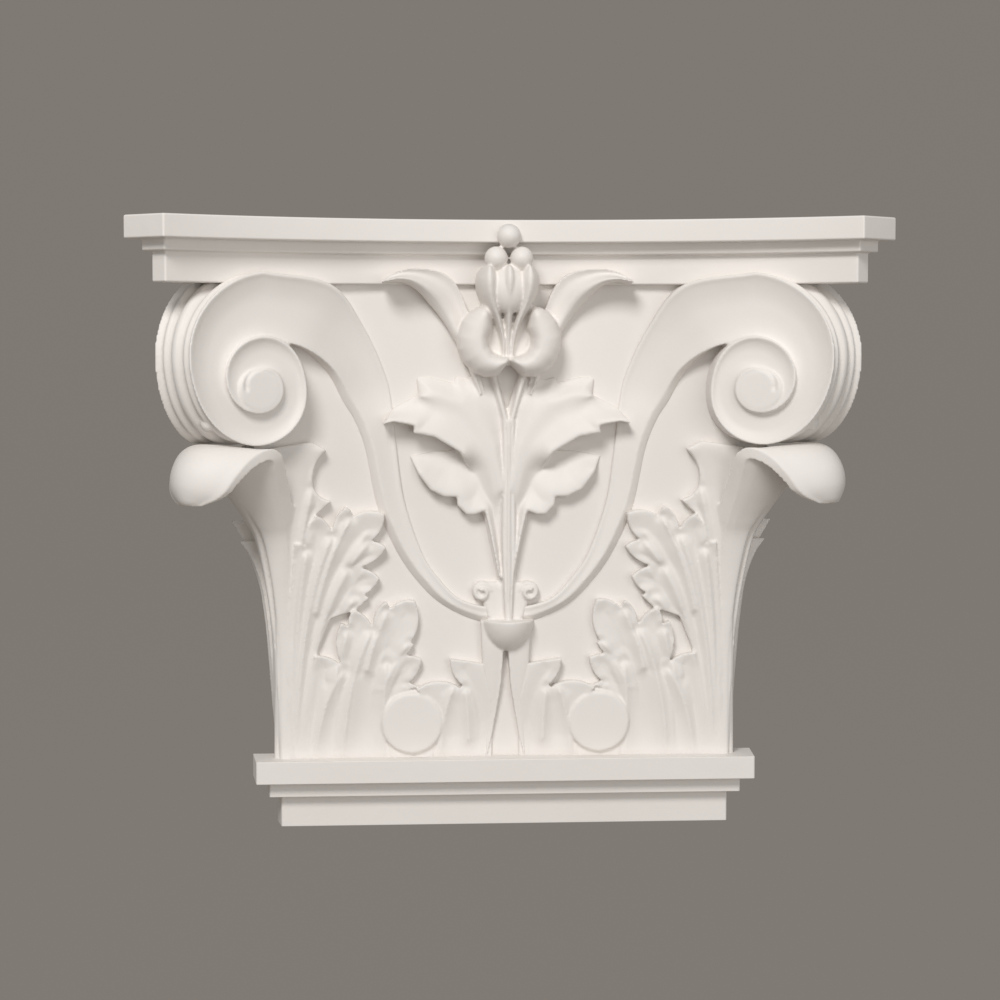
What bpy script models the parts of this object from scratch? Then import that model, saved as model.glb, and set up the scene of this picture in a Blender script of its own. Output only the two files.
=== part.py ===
"""A moulded pilaster capital: base bands, a hollow-sided abacus with clipped horns, corner volutes on
ribbons, acanthus leaves and a central flower, cast as one piece with a flat back.

Shapes are worked out as (across, out, up): across from the middle line, out from the wall, and up from
the underside, in metres. Across is world X, out is world -Y and up is world Z. The origin is the middle
of the flat back. The carving keeps its places as shares of the shaft's half width and of the bell's
height. The front and the sides mirror each other in the diagonal through each corner."""

import itertools
import math

import bmesh
import bpy
import numpy as np
from mathutils import Matrix, Vector
from mathutils.geometry import delaunay_2d_cdt

# The shaft below, whose front stands this far from the wall
SHAFT_WIDTH = 0.220
SHAFT_DEPTH = 0.0150

# Base bands, from the underside up
NECK_HEIGHT = 0.0155
LOWER_BAND_HEIGHT = 0.0073
LOWER_BAND_STEP = 0.0057
UPPER_BAND_HEIGHT = 0.0110
UPPER_BAND_STEP = 0.0063
SIDE_DRAFT = 0.0020
EDGE_CHAMFER = 0.0005

# Bell between the base and the abacus
BELL_HEIGHT = 0.2309
BELL_MIDDLE_DEPTH = 0.0120
BELL_CORNER_CLIP = 0.0040
BELL_TOP_FLARE = 0.0280

# Abacus, three bands with clipped horns and hollow sides
ABACUS_LOW_HEIGHT = 0.0144
ABACUS_MIDDLE_HEIGHT = 0.0056
ABACUS_TOP_HEIGHT = 0.0109
ABACUS_LOW_SETBACK = 0.0130
ABACUS_MIDDLE_SETBACK = 0.0083
HORN_DEPTH = 0.0858
HORN_SIDE_DEPTH = 0.0662
ABACUS_MIDDLE_DEPTH = 0.0288

# Volutes and the ribbons that carry them
VOLUTE_RADIUS = 0.0495
VOLUTE_PROUD = 0.0080
VOLUTE_BACK = 0.0270
VOLUTE_BEHIND_DIAGONAL = 0.0160
VOLUTE_HOLLOW = 0.0035
TURN_RISE = 0.0016
VOLUTE_TURNS = 2
RIM_LIP = 0.0016
RIM_RIDGE = 0.0014
RIM_TURNS = (0.02, 0.56)
RIM_DEPTH = 0.90

# Leaves and other relief
RELIEF_BACK = 0.0060
RELIEF_BACK_STEP = 0.0001
LEAF_LIFT = 0.0040
LEAF_CURL = 0.0090
FLUTE_DEPTH = 0.0028
FLUTE_DEPTH_STARTS = 0.25
EDGE_BULGE = 0.12
CORNER_LEAF_CURL = 0.0054
DISC_LEAF_CURL = 0.0072
STALK_LEAF_CURL = 0.0036
UPPER_LOBE_LIFT = (0.0015, 0.0095)
LOWER_LOBE_LIFT = (0.0030, 0.0085)
SIDE_LEAF_FLARE = 0.0160
FLARE_START = 0.65
DISC_RADIUS = 0.0153
DISC_LIFT = 0.0060
BOSS_TAPER = 0.93
CURL_RADIUS = 0.0062
CURL_LIFT = 0.0080
STEM_LIFT = 0.0085
CUP_BULGE = 0.0165
PETAL_BULGE = 0.0240
BERRY_RADIUS = 0.0056
BERRY_OUT = 1.4
BERRY_DEPTH = 1.6

# Fineness of curves and surfaces
ARC_STEPS = 12
BELL_STEPS = 6
BELL_ROWS = 9
TURN_STEPS = 18
RIM_STEPS = 14
RIB_POINTS = 4

HALF_SHAFT = SHAFT_WIDTH / 2
DIAGONAL = HALF_SHAFT - SHAFT_DEPTH
BASE_HEIGHT = NECK_HEIGHT + LOWER_BAND_HEIGHT + UPPER_BAND_HEIGHT
BELL_TOP = BASE_HEIGHT + BELL_HEIGHT
ABACUS_HEIGHT = ABACUS_LOW_HEIGHT + ABACUS_MIDDLE_HEIGHT + ABACUS_TOP_HEIGHT
HEIGHT = BELL_TOP + ABACUS_HEIGHT
HORN_HALF_WIDTH = DIAGONAL + HORN_SIDE_DEPTH
ABACUS_HOLLOW = HORN_DEPTH - ABACUS_MIDDLE_DEPTH
SINK = 0.0030
SLANT = math.sqrt(0.5)

# Volute, as (across, up) shares and radii at each quarter turn from its top, outward and down
VOLUTE_EYE = (1.061, 0.800)
QUARTER_RADII = (1.0, 0.66, 0.61, 0.40, 0.43, 0.35, 0.305, 0.176, 0.123, 0.10, 0.075, 0.055, 0.035)

# Ribbon from the volute down to the cup: its upper edge, its lower edge and how far each is raised
RIBBON = (
    ((0.771, 0.999), (0.903, 0.865), 0.80, 0.95),
    ((0.626, 0.909), (0.793, 0.819), 0.35, 0.75),
    ((0.534, 0.813), (0.723, 0.757), 0.14, 0.50),
    ((0.504, 0.748), (0.670, 0.715), 0.12, 0.45),
    ((0.486, 0.669), (0.622, 0.652), 0.15, 0.45),
    ((0.451, 0.548), (0.569, 0.531), 0.20, 0.45),
    ((0.372, 0.435), (0.477, 0.431), 0.25, 0.45),
    ((0.298, 0.381), (0.372, 0.362), 0.30, 0.45),
    ((0.214, 0.339), (0.271, 0.320), 0.35, 0.45),
    ((0.120, 0.322), (0.140, 0.290), 0.40, 0.45),
)

# Across the volute's band, from its outer edge in
BAND_SIDES = (0.0, 0.16, 0.60, 1.0)

# Rim round the corner, as shares of the way from the front to the side and heights of its ridges
RIM_PROFILE = ((0.04, -1.0), (0.17, 1.0), (0.34, -0.6), (0.50, 1.4), (0.66, -0.6), (0.83, 1.0), (0.96, -1.0))

# Leaves as foot, then notches and tips in turn from the outer side over the top, then foot
LEAF_BESIDE_CORNER = (
    ((0.964, -0.021), (0.960, 0.300)),
    ((0.933, 0.459), (0.880, 0.452), (0.841, 0.518), (0.770, 0.480), (0.708, 0.535), (0.668, 0.516),
     (0.538, 0.519), (0.595, 0.463), (0.531, 0.447), (0.680, 0.405), (0.562, 0.383), (0.646, 0.347),
     (0.608, 0.341)),
    ((0.664, 0.316), (0.779, 0.297), (0.836, 0.230), (0.885, -0.021)),
)
LEAF_BESIDE_DISC = (
    ((0.898, -0.018), (0.885, 0.120)),
    ((0.850, 0.219), (0.721, 0.192), (0.735, 0.288), (0.699, 0.280), (0.677, 0.316), (0.593, 0.278),
     (0.536, 0.333), (0.509, 0.318), (0.406, 0.335), (0.421, 0.251), (0.410, 0.240), (0.516, 0.205),
     (0.375, 0.210), (0.434, 0.160), (0.395, 0.150)),
    ((0.492, 0.125), (0.545, 0.099), (0.580, -0.018)),
)
LEAF_BY_STALK = (
    ((0.275, -0.019), (0.289, 0.105)),
    ((0.399, 0.145), (0.240, 0.152), (0.209, 0.145), (0.191, 0.154), (0.249, 0.209)),
    ((0.099, 0.198), (0.028, 0.124), (0.015, -0.019)),
)
CORNER_LEAF = (
    ((0.952, -0.024), (0.950, 0.334), (0.935, 0.450), (0.912, 0.499)),
    ((0.774, 0.547), (0.841, 0.580), (0.796, 0.655)),
    ((0.898, 0.657), (1.040, 0.644), (1.060, 0.600), (1.050, 0.450), (1.020, 0.300), (1.005, -0.024)),
)

# Big leaf on the stem: its upper lobe with the blade, and its lower lobe
CENTRE_UPPER_LOBE = (
    (0.138, 0.810), (0.175, 0.800), (0.220, 0.806), (0.233, 0.794), (0.337, 0.806), (0.395, 0.804),
    (0.386, 0.769), (0.499, 0.741), (0.545, 0.709), (0.499, 0.714), (0.409, 0.705), (0.413, 0.690),
    (0.319, 0.681), (0.206, 0.649), (0.150, 0.580), (0.110, 0.510), (0.072, 0.503), (0.028, 0.419),
    (0.004, 0.320), (0.004, 0.608), (0.059, 0.714),
)
CENTRE_LOWER_LOBE = (
    (0.206, 0.656), (0.319, 0.650), (0.427, 0.640), (0.386, 0.600), (0.337, 0.569), (0.275, 0.554),
    (0.219, 0.554), (0.215, 0.535), (0.175, 0.516), (0.138, 0.516), (0.094, 0.524), (0.090, 0.600),
)

# Curled tip behind the flower, as centre line, half width and raise
CURLED_TIP = (
    (0.120, 0.770, 0.014, 0.0060),
    (0.165, 0.835, 0.022, 0.0070),
    (0.200, 0.890, 0.040, 0.0080),
    (0.235, 0.945, 0.062, 0.0090),
    (0.300, 0.990, 0.072, 0.0120),
    (0.390, 1.012, 0.045, 0.0160),
    (0.470, 1.016, 0.024, 0.0190),
    (0.545, 1.005, 0.005, 0.0200),
)

# Corner strip and tongue along the diagonal, as shares of the volute's radius: out past the shaft's front
# on the middle line, then (as a share of the bell's height) up, half width, how far its edges fall back and
# down, and thickness
TONGUE = (
    (0.040, -0.016, 0.131, 0.117, 0.000, 0.182),
    (0.044, 0.200, 0.131, 0.117, 0.000, 0.182),
    (0.091, 0.334, 0.141, 0.117, 0.000, 0.182),
    (0.182, 0.456, 0.202, 0.141, 0.000, 0.182),
    (0.263, 0.503, 0.263, 0.162, 0.000, 0.172),
    (0.404, 0.564, 0.354, 0.202, 0.000, 0.162),
    (0.545, 0.620, 0.455, 0.263, 0.000, 0.141),
    (0.646, 0.659, 0.505, 0.329, 0.051, 0.121),
    (0.758, 0.651, 0.485, 0.283, 0.121, 0.101),
    (0.828, 0.620, 0.414, 0.271, 0.111, 0.091),
    (0.848, 0.581, 0.321, 0.178, 0.071, 0.081),
    (0.818, 0.540, 0.141, 0.057, 0.000, 0.071),
)

# Central stem, fork, stalk under the cup and fruit, as shares. The stem and flower stand a little right
MIDDLE_SHIFT = 0.012
STEM_LINE = ((0.010, 0.285, 0.020, 0.90), (0.012, 0.450, 0.030, 1.00), (0.012, 0.640, 0.024, 1.00),
             (0.012, 0.715, 0.030, 0.90))
FORK_LINE = ((0.000, 0.690, 0.018, 0.85), (0.033, 0.750, 0.018, 0.85), (0.073, 0.815, 0.020, 0.80))
STALK_LINE = ((0.000, -0.020, 0.060, 0.75), (0.000, 0.060, 0.050, 0.85), (0.000, 0.160, 0.075, 1.00),
              (0.000, 0.260, 0.112, 1.10))
CUP_PLACE = (0.010, 0.296, 0.118, 0.070)
CURL_PLACE = (0.110, 0.350)
DISC_PLACE = (0.418, 0.073)
PETAL_PLACE = (0.104, 0.880, 0.108, 0.078)
PETAL_TILT = math.radians(14)
BERRIES = ((0.000, 1.103, 1.05), (-0.056, 1.054, 0.95), (0.056, 1.054, 0.95))
DROPS = ((-0.093, 1.010), (0.000, 1.006), (0.093, 1.010))

# A drop's centre line from its foot: share of its lean, distance below its head, half width and raise
DROP_LINE = ((0.25, -0.158, 0.012, 1.5), (0.55, -0.099, 0.018, 1.9), (0.95, -0.010, 0.046, 2.9),
             (1.00, 0.032, 0.012, 2.5))

RELIEF_NUMBERS = itertools.count()
PAINT_COLOUR = (0.80, 0.77, 0.73, 1.0)
PAINT_ROUGHNESS = 0.55


def place(across, up):
    """Shares of the shaft's half width and the bell's height as metres across and up."""
    return across * HALF_SHAFT, BASE_HEIGHT + up * BELL_HEIGHT


def smooth(value):
    """Eased step from 0 to 1."""
    value = np.clip(value, 0.0, 1.0)
    return value * value * (3 - 2 * value)


def hollow_out(across, corner_across, corner_out, hollow):
    """Distance from the wall of a hollow front: a circle arc through both corners."""
    if hollow < 1e-6:
        return np.full_like(np.asarray(across, float), corner_out)
    radius = (corner_across**2 + hollow**2) / (2 * hollow)
    reach = np.clip(np.abs(across), 0.0, radius * 0.95)
    return corner_out - hollow + radius - np.sqrt(radius**2 - reach**2)


def other_side(points):
    """Points mirrored in the corner's diagonal, from the front to the side."""
    return [(out + DIAGONAL, across - DIAGONAL, up) for across, out, up in points]


def curve_between(a, b, c, d, t):
    """A smooth curve's value this share of the way from b to c, with a before them and d after."""
    return 0.5 * (2 * b + (c - a) * t + (2 * a - 5 * b + 4 * c - d) * t**2 + (3 * b - a - 3 * c + d) * t**3)


def catmull(values, steps):
    """Points on a smooth curve through the values, with the given steps from one to the next."""
    values = np.asarray(values, float)
    ends = np.vstack([2 * values[0] - values[1], values, 2 * values[-1] - values[-2]])
    found = [curve_between(*ends[i : i + 4], t)
             for i in range(len(values) - 1) for t in np.arange(steps) / steps]
    return np.array(found + [values[-1]])


def bell_corner(up):
    """How far out the bell's front edge stands at the corner, at this height."""
    share = np.clip((up - BASE_HEIGHT) / BELL_HEIGHT, 0.0, 1.0)
    return SHAFT_DEPTH + BELL_TOP_FLARE * smooth((share - 0.25) / 0.75)


def ground_out(across, up):
    """Distance from the wall of the bell's front."""
    corner = bell_corner(up)
    corner_across = corner + DIAGONAL - BELL_CORNER_CLIP
    hollow = np.maximum(corner - BELL_MIDDLE_DEPTH, 1e-4)
    radius = (corner_across**2 + hollow**2) / (2 * hollow)
    reach = np.minimum(np.abs(across), corner_across)
    return BELL_MIDDLE_DEPTH + radius - np.sqrt(radius**2 - reach**2)


def face_out(across):
    """Distance from the wall of the volute's face, which follows the abacus."""
    low_corner = HORN_DEPTH - ABACUS_LOW_SETBACK
    return hollow_out(across, HORN_HALF_WIDTH, low_corner, ABACUS_HOLLOW) + VOLUTE_PROUD


def to_world(point):
    across, out, up = point
    return Vector((across, -out, up - HEIGHT / 2))


def new_mesh(name, points, faces):
    """A mesh from (across, out, up) points, its faces turned outward."""
    mesh = bpy.data.meshes.new(name)
    mesh.from_pydata([to_world(point) for point in points], [], faces)
    shape = bmesh.new()
    shape.from_mesh(mesh)
    bmesh.ops.recalc_face_normals(shape, faces=shape.faces)
    shape.to_mesh(mesh)
    shape.free()
    return mesh


def loft_mesh(name, rings):
    """A closed solid through rings of equally many points, capped at both ends."""
    count = len(rings[0])
    points = [point for ring in rings for point in ring]
    faces = []
    for row in range(len(rings) - 1):
        for i in range(count):
            j = (i + 1) % count
            start = row * count
            faces.append((start + i, start + j, start + count + j, start + count + i))
    faces.append(tuple(range(count)))
    faces.append(tuple(range(len(points) - count, len(points))))
    return new_mesh(name, points, faces)


def plan_ring(up, corner_across, corner_out, hollow, steps, side_steps, draft=0.0):
    """A level outline from wall to wall, with hollow front and sides and clipped corners."""
    front = [(x, float(hollow_out(x, corner_across, corner_out, hollow)), up)
             for x in np.linspace(0.0, corner_across, steps + 1)]
    side = []
    for x in np.linspace(corner_across, DIAGONAL, side_steps + 1):
        out = x - DIAGONAL
        width = float(hollow_out(x, corner_across, corner_out, hollow)) + DIAGONAL
        side.append((width + draft * (1 - out / corner_out), out, up))
    half = front + side
    return half + [(-across, out, up) for across, out, up in reversed(half[1:])]


def base_mesh():
    """The neck and the two bands over it."""
    levels = (
        (0.0, 0.0), (NECK_HEIGHT, 0.0),
        (NECK_HEIGHT, LOWER_BAND_STEP), (NECK_HEIGHT + LOWER_BAND_HEIGHT, LOWER_BAND_STEP),
        (NECK_HEIGHT + LOWER_BAND_HEIGHT, LOWER_BAND_STEP + UPPER_BAND_STEP),
        (BASE_HEIGHT, LOWER_BAND_STEP + UPPER_BAND_STEP),
    )
    rings = []
    for up, step in levels:
        across = HALF_SHAFT + step - EDGE_CHAMFER
        rings.append(plan_ring(up, across, SHAFT_DEPTH + step, 0.0, 1, 1, SIDE_DRAFT))
    return loft_mesh("base", rings)


def abacus_mesh():
    """The three bands of the abacus, each standing out over the one below."""
    low_top = BELL_TOP + ABACUS_LOW_HEIGHT
    middle_top = low_top + ABACUS_MIDDLE_HEIGHT
    levels = (
        (BELL_TOP, ABACUS_LOW_SETBACK), (low_top, ABACUS_LOW_SETBACK),
        (low_top, ABACUS_MIDDLE_SETBACK), (middle_top, ABACUS_MIDDLE_SETBACK),
        (middle_top, 0.0), (HEIGHT, 0.0),
    )
    rings = [plan_ring(up, HORN_HALF_WIDTH, HORN_DEPTH - setback, ABACUS_HOLLOW, ARC_STEPS, ARC_STEPS // 2)
             for up, setback in levels]
    return loft_mesh("abacus", rings)


def bell_mesh():
    """The bell, whose corners flare out under the volutes."""
    rings = []
    for up in np.linspace(BASE_HEIGHT - SINK, BELL_TOP + SINK, BELL_ROWS):
        corner = float(bell_corner(up))
        across = corner + DIAGONAL - BELL_CORNER_CLIP
        hollow = max(corner - BELL_MIDDLE_DEPTH, 0.0)
        rings.append(plan_ring(up, across, corner, hollow, BELL_STEPS, BELL_STEPS // 2))
    return loft_mesh("bell", rings)


def next_back():
    """The next relief's flat back, inside the bell. No two backs lie in one plane."""
    return RELIEF_BACK + RELIEF_BACK_STEP * next(RELIEF_NUMBERS)


def pad_mesh(name, outline, lines, out_at):
    """A closed solid with this outline, a front face at out_at(across, up) folded along the lines, and a
    flat back."""
    back = next_back()
    spots = [Vector(point) for point in outline]
    edges = [(i, (i + 1) % len(spots)) for i in range(len(spots))]
    for line in lines:
        for i, point in enumerate(line):
            spots.append(Vector(point))
            if i:
                edges.append((len(spots) - 2, len(spots) - 1))
    found, _, triangles, *_ = delaunay_2d_cdt(spots, edges, [], 0, 1e-6)
    shape = bmesh.new()
    fronts = [shape.verts.new(to_world((p.x, float(out_at(p.x, p.y)), p.y))) for p in found]
    for triangle in triangles:
        middle = sum((found[i] for i in triangle), Vector((0.0, 0.0))) / 3
        if inside_outline(middle, outline):
            shape.faces.new([fronts[i] for i in triangle])
    bmesh.ops.delete(shape, geom=[v for v in shape.verts if not v.link_faces], context="VERTS")
    rim = [edge for edge in shape.edges if edge.is_boundary]
    pulled = bmesh.ops.extrude_edge_only(shape, edges=rim)["geom"]
    for vert in [item for item in pulled if isinstance(item, bmesh.types.BMVert)]:
        vert.co.y = -back
    last = [item for item in pulled if isinstance(item, bmesh.types.BMEdge) and item.is_boundary]
    bmesh.ops.contextual_create(shape, geom=last)
    bmesh.ops.recalc_face_normals(shape, faces=shape.faces)
    mesh = bpy.data.meshes.new(name)
    shape.to_mesh(mesh)
    shape.free()
    return mesh


def near_lines(across, up, lines):
    """The distance from a point to the nearest of some lines of points."""
    here = np.array((across, up))
    nearest = 1.0
    for line in lines:
        start, end = line[:-1], line[1:]
        run = end - start
        share = np.clip(((here - start) * run).sum(1) / np.maximum((run * run).sum(1), 1e-12), 0, 1)
        gap = np.linalg.norm(start + run * share[:, None] - here, axis=1).min()
        nearest = min(nearest, gap)
    return nearest


def rib_line(foot, end, outline):
    """A rib that rises straight from the foot and bends over to its end, inside the outline."""
    foot, end = np.array(foot), np.array(end)
    bend = np.array((foot[0] * 0.9 + end[0] * 0.1, foot[1] + 0.9 * (end[1] - foot[1])))
    t = np.linspace(0.08, 0.92, RIB_POINTS)[:, None]
    line = (1 - t) ** 2 * foot + 2 * t * (1 - t) * bend + t**2 * end
    return [tuple(point) for point in line if inside_outline(point, outline)]


def leaf_mesh(name, leaf, curl=LEAF_CURL, flare=0.0):
    """A fluted leaf: ridges run from its foot to the notches, and hollows run to the tips."""
    rise, edge, fall = [[place(*point) for point in part] for part in leaf]
    outline = list(rise)
    before = None
    for point in edge:
        if before:
            bulge = (before[1] - point[1], point[0] - before[0])
            outline.append(((before[0] + point[0]) / 2 - EDGE_BULGE * bulge[0],
                            (before[1] + point[1]) / 2 - EDGE_BULGE * bulge[1]))
        outline.append(point)
        before = point
    outline += fall
    foot_from, foot_to = np.array(rise[0]), np.array(fall[-1])
    hollows, ridges = [], []
    for i, end in enumerate(edge):
        foot = foot_from + (foot_to - foot_from) * (i + 0.5) / len(edge)
        line = rib_line(foot, end, outline)
        if len(line) > 1:
            (ridges if i % 2 else hollows).append(np.array(line + [end]))
    top = max(point[1] for point in edge)
    bottom = rise[0][1]

    def out_at(across, up):
        share = (up - bottom) / (top - bottom)
        to_hollow = near_lines(across, up, hollows)
        to_ridge = near_lines(across, up, ridges)
        flute = smooth(to_ridge / max(to_hollow + to_ridge, 1e-6)) * smooth(share / FLUTE_DEPTH_STARTS)
        spread = flare * (max(share - FLARE_START, 0) / (1 - FLARE_START)) ** 2
        return ground_out(across, up) + LEAF_LIFT + curl * smooth(share) - FLUTE_DEPTH * flute + spread

    lines = [[tuple(point) for point in line[:-1]] for line in hollows + ridges]
    return pad_mesh(name, outline, lines, out_at)


def shingle_mesh(name, outline, low, high):
    """A lobe that stands out more towards its lower edge, like a shingle."""
    outline = [place(*point) for point in outline]
    ups = [up for _, up in outline]
    acrosses = [across for across, _ in outline]
    top, bottom = max(ups), min(ups)
    widest = max(acrosses)

    def out_at(across, up):
        drop = (top - up) / (top - bottom) + 0.25 * across / widest
        return ground_out(across, up) + low + (high - low) * smooth(drop * 1.2)

    middle = [(widest * s, top + (bottom - top) * t) for s in (0.25, 0.5, 0.7) for t in (0.25, 0.4, 0.55)]
    lines = [[point] for point in middle if inside_outline(point, outline)]
    return pad_mesh(name, outline, lines, out_at)


def inside_outline(point, outline):
    """Whether a point lies inside a closed outline."""
    across, up = point
    inside = False
    for (x0, z0), (x1, z1) in zip(outline, outline[1:] + outline[:1]):
        if (z0 > up) != (z1 > up) and across < x0 + (up - z0) / (z1 - z0) * (x1 - x0):
            inside = not inside
    return inside


def blade_mesh(name, rows, shape=(0.0, 0.75, 1.0, 0.75, 0.0)):
    """A rounded blade along rows of (across, up, half width, raise), in metres."""
    back = next_back()
    rows = np.asarray(rows, float)
    lean = np.gradient(rows[:, :2], axis=0)
    lean /= np.linalg.norm(lean, axis=1)[:, None]
    rings = []
    for (across, up, half, lift), (dx, dz) in zip(rows, lean):
        ring = []
        for side, height in zip(np.linspace(-1, 1, len(shape)), shape):
            x, z = across - dz * half * side, up + dx * half * side
            ring.append((x, float(ground_out(x, z)) + lift * (0.45 + 0.55 * height), z))
        ring.append((across - dz * half, back, up + dx * half))
        ring.append((across + dz * half, back, up - dx * half))
        rings.append(ring)
    return loft_mesh(name, rings)


def share_rows(line, raise_by, steps=2):
    """Rows for a blade from (across, up, half width, raise) shares."""
    rows = []
    for across, up, half, lift in catmull(line, steps):
        rows.append((*place(across, up), half * HALF_SHAFT, lift * raise_by))
    return rows


def ball_mesh(name, across, up, out, radii, tilt=0.0, segments=12, rings=8):
    """An ellipsoid with its middle at this place, tilted in the plane of the front."""
    mesh = bpy.data.meshes.new(name)
    shape = bmesh.new()
    bmesh.ops.create_uvsphere(shape, u_segments=segments, v_segments=rings, radius=1.0)
    move = Matrix.Translation(to_world((across, out, up))) @ Matrix.Rotation(tilt, 4, "Y")
    shape.transform(move @ Matrix.Diagonal((*radii, 1.0)))
    shape.to_mesh(mesh)
    shape.free()
    return mesh


def spiral_point(turn):
    """The volute's outer edge after this many turns from its top, in metres across and up."""
    last = len(QUARTER_RADII) - 1
    nearest = min(int(turn * 4), last - 1)
    near = [QUARTER_RADII[min(max(nearest + k, 0), last)] for k in (-1, 0, 1, 2)]
    radius = curve_between(*near, turn * 4 - nearest)
    angle = math.pi / 2 - turn * 2 * math.pi
    eye_across, eye_up = place(*VOLUTE_EYE)
    return (eye_across + VOLUTE_RADIUS * radius * math.cos(angle),
            eye_up + VOLUTE_RADIUS * radius * math.sin(angle))


def scroll_mesh(name, ribbon_rows):
    """The volute's spiral band, continued by the ribbon. Each turn steps up from the hollow before it."""
    rows = []
    for upper, lower, upper_raise, lower_raise in reversed(ribbon_rows):
        rows.append((place(*upper), place(*lower), upper_raise, lower_raise, 0.0))
    first = len(rows)
    for i in range(VOLUTE_TURNS * TURN_STEPS + 1):
        turn = i / TURN_STEPS
        rows.append((spiral_point(turn), spiral_point(turn + 1), 1.0, 1.0, turn))
    front = []
    for i, (upper, lower, upper_raise, lower_raise, turn) in enumerate(rows):
        line = []
        width = math.dist(upper, lower)
        fade = 1.0 if i >= first else 0.25 + 0.75 * (i + 1) / (first + 1)
        for side in BAND_SIDES:
            x = upper[0] + (lower[0] - upper[0]) * side
            z = upper[1] + (lower[1] - upper[1]) * side
            share = upper_raise + (lower_raise - upper_raise) * side
            ground = float(ground_out(x, z)) if i < first else float(face_out(x))
            top = ground + share * (float(face_out(x)) - ground) + TURN_RISE * turn
            dip = smooth((side - 0.12) / 0.35) * min(VOLUTE_HOLLOW, width * 0.16) * fade
            line.append((x, top - float(dip), z))
        front.append(line)
    last = len(BAND_SIDES) - 1
    points = [point for line in front for point in line]

    def at(i, j):
        return i * len(BAND_SIDES) + j

    faces = [(at(i, j), at(i + 1, j), at(i + 1, j + 1), at(i, j + 1))
             for i in range(len(front) - 1) for j in range(last)]
    turn_end = first + TURN_STEPS
    faces += [(at(i, last), at(i + 1, last), at(i + 1 + TURN_STEPS, 0), at(i + TURN_STEPS, 0))
              for i in range(first, turn_end)]
    faces.append(tuple([at(i, last) for i in range(turn_end, len(front))]
                       + [at(len(front) - 1, j) for j in range(last - 1, -1, -1)]))
    backs = {}
    for i in range(turn_end + 1):
        behind_diagonal = front[i][0][0] - DIAGONAL - VOLUTE_BEHIND_DIAGONAL
        sunk = max(VOLUTE_BACK, behind_diagonal) if i >= first else RELIEF_BACK
        backs[i, 0] = len(points)
        points.append((front[i][0][0], sunk, front[i][0][2]))
        if i < first:
            backs[i, 1] = len(points)
            points.append((front[i][last][0], sunk, front[i][last][2]))
    backs[first, 1] = backs[turn_end, 0]
    for i in range(turn_end):
        face = [at(i, 0), at(i + 1, 0), backs[i + 1, 0], backs[i, 0]]
        if i + 1 == turn_end:
            face.insert(2, at(first, last))
        faces.append(tuple(face))
    for i in range(first):
        faces.append((at(i, last), at(i + 1, last), backs[i + 1, 1], backs[i, 1]))
        faces.append((backs[i, 0], backs[i + 1, 0], backs[i + 1, 1], backs[i, 1]))
    eye_across, eye_up = place(*VOLUTE_EYE)
    points.append((eye_across, VOLUTE_BACK, eye_up))
    edge = [backs[i, 0] for i in range(first, turn_end + 1)]
    faces += [(a, b, len(points) - 1) for a, b in zip(edge, edge[1:] + edge[:1])]
    faces.append(tuple([at(0, j) for j in range(last + 1)] + [backs[0, 1], backs[0, 0]]))
    return new_mesh(name, points, faces)


def rim_mesh():
    """The ridged band round the corner between the front volute and the side one."""
    rings = []
    for turn in np.linspace(*RIM_TURNS, RIM_STEPS):
        across, up = spiral_point(turn)
        near = np.array((across, float(face_out(across)), up))
        far = np.array(other_side([tuple(near)])[0])
        angle = math.pi / 2 - turn * 2 * math.pi
        outward = np.array((math.cos(angle) * SLANT, math.cos(angle) * SLANT, math.sin(angle)))
        outward /= np.linalg.norm(outward)
        inward = -outward * RIM_DEPTH * math.dist((across, up), place(*VOLUTE_EYE))
        ring = [tuple(near + (far - near) * t + outward * (RIM_RIDGE * height - RIM_LIP))
                for t, height in RIM_PROFILE]
        ring += [tuple(near + (far - near) * t + inward) for t in (0.75, 0.25)]
        rings.append(ring)
    return loft_mesh("rim", rings)


def tongue_mesh():
    """The corner leaf's strip up the diagonal, and its tongue that curls out under the volute."""
    rows = np.array(TONGUE) * VOLUTE_RADIUS
    rows[:, 0] += SHAFT_DEPTH
    rows[:, 1] = BASE_HEIGHT + np.array(TONGUE)[:, 1] * BELL_HEIGHT
    run = np.gradient(rows[:, :2], axis=0)
    run /= np.linalg.norm(run, axis=1)[:, None]
    sideways = np.array((SLANT, -SLANT, 0.0))
    back = np.array((-SLANT, -SLANT, 0.0))
    rings = []
    for (out, up, half, sweep, drop, thick), (step_out, step_up) in zip(rows, run):
        normal = np.array((step_up * SLANT, step_up * SLANT, -step_out))
        middle = np.array((out + DIAGONAL, out, up))
        top, under = [], []
        for side in (-1.0, -0.5, 0.0, 0.5, 1.0):
            spot = middle + sideways * half * side + (back * sweep - np.array((0, 0, drop))) * side * side
            top.append(tuple(spot))
            under.append(tuple(spot - normal * thick))
        rings.append(top + under[::-1])
    return loft_mesh("tongue", rings)


def cylinder_mesh(name, across, up, radius, out, sides):
    """A round boss standing out from the bell."""
    back = next_back()
    mesh = bpy.data.meshes.new(name)
    shape = bmesh.new()
    bmesh.ops.create_cone(shape, cap_ends=True, segments=sides, radius1=radius,
                          radius2=radius * BOSS_TAPER, depth=out - back)
    middle = to_world((across, (out + back) / 2, up))
    shape.transform(Matrix.Translation(middle) @ Matrix.Rotation(math.radians(90), 4, "X"))
    shape.to_mesh(mesh)
    shape.free()
    return mesh


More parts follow.
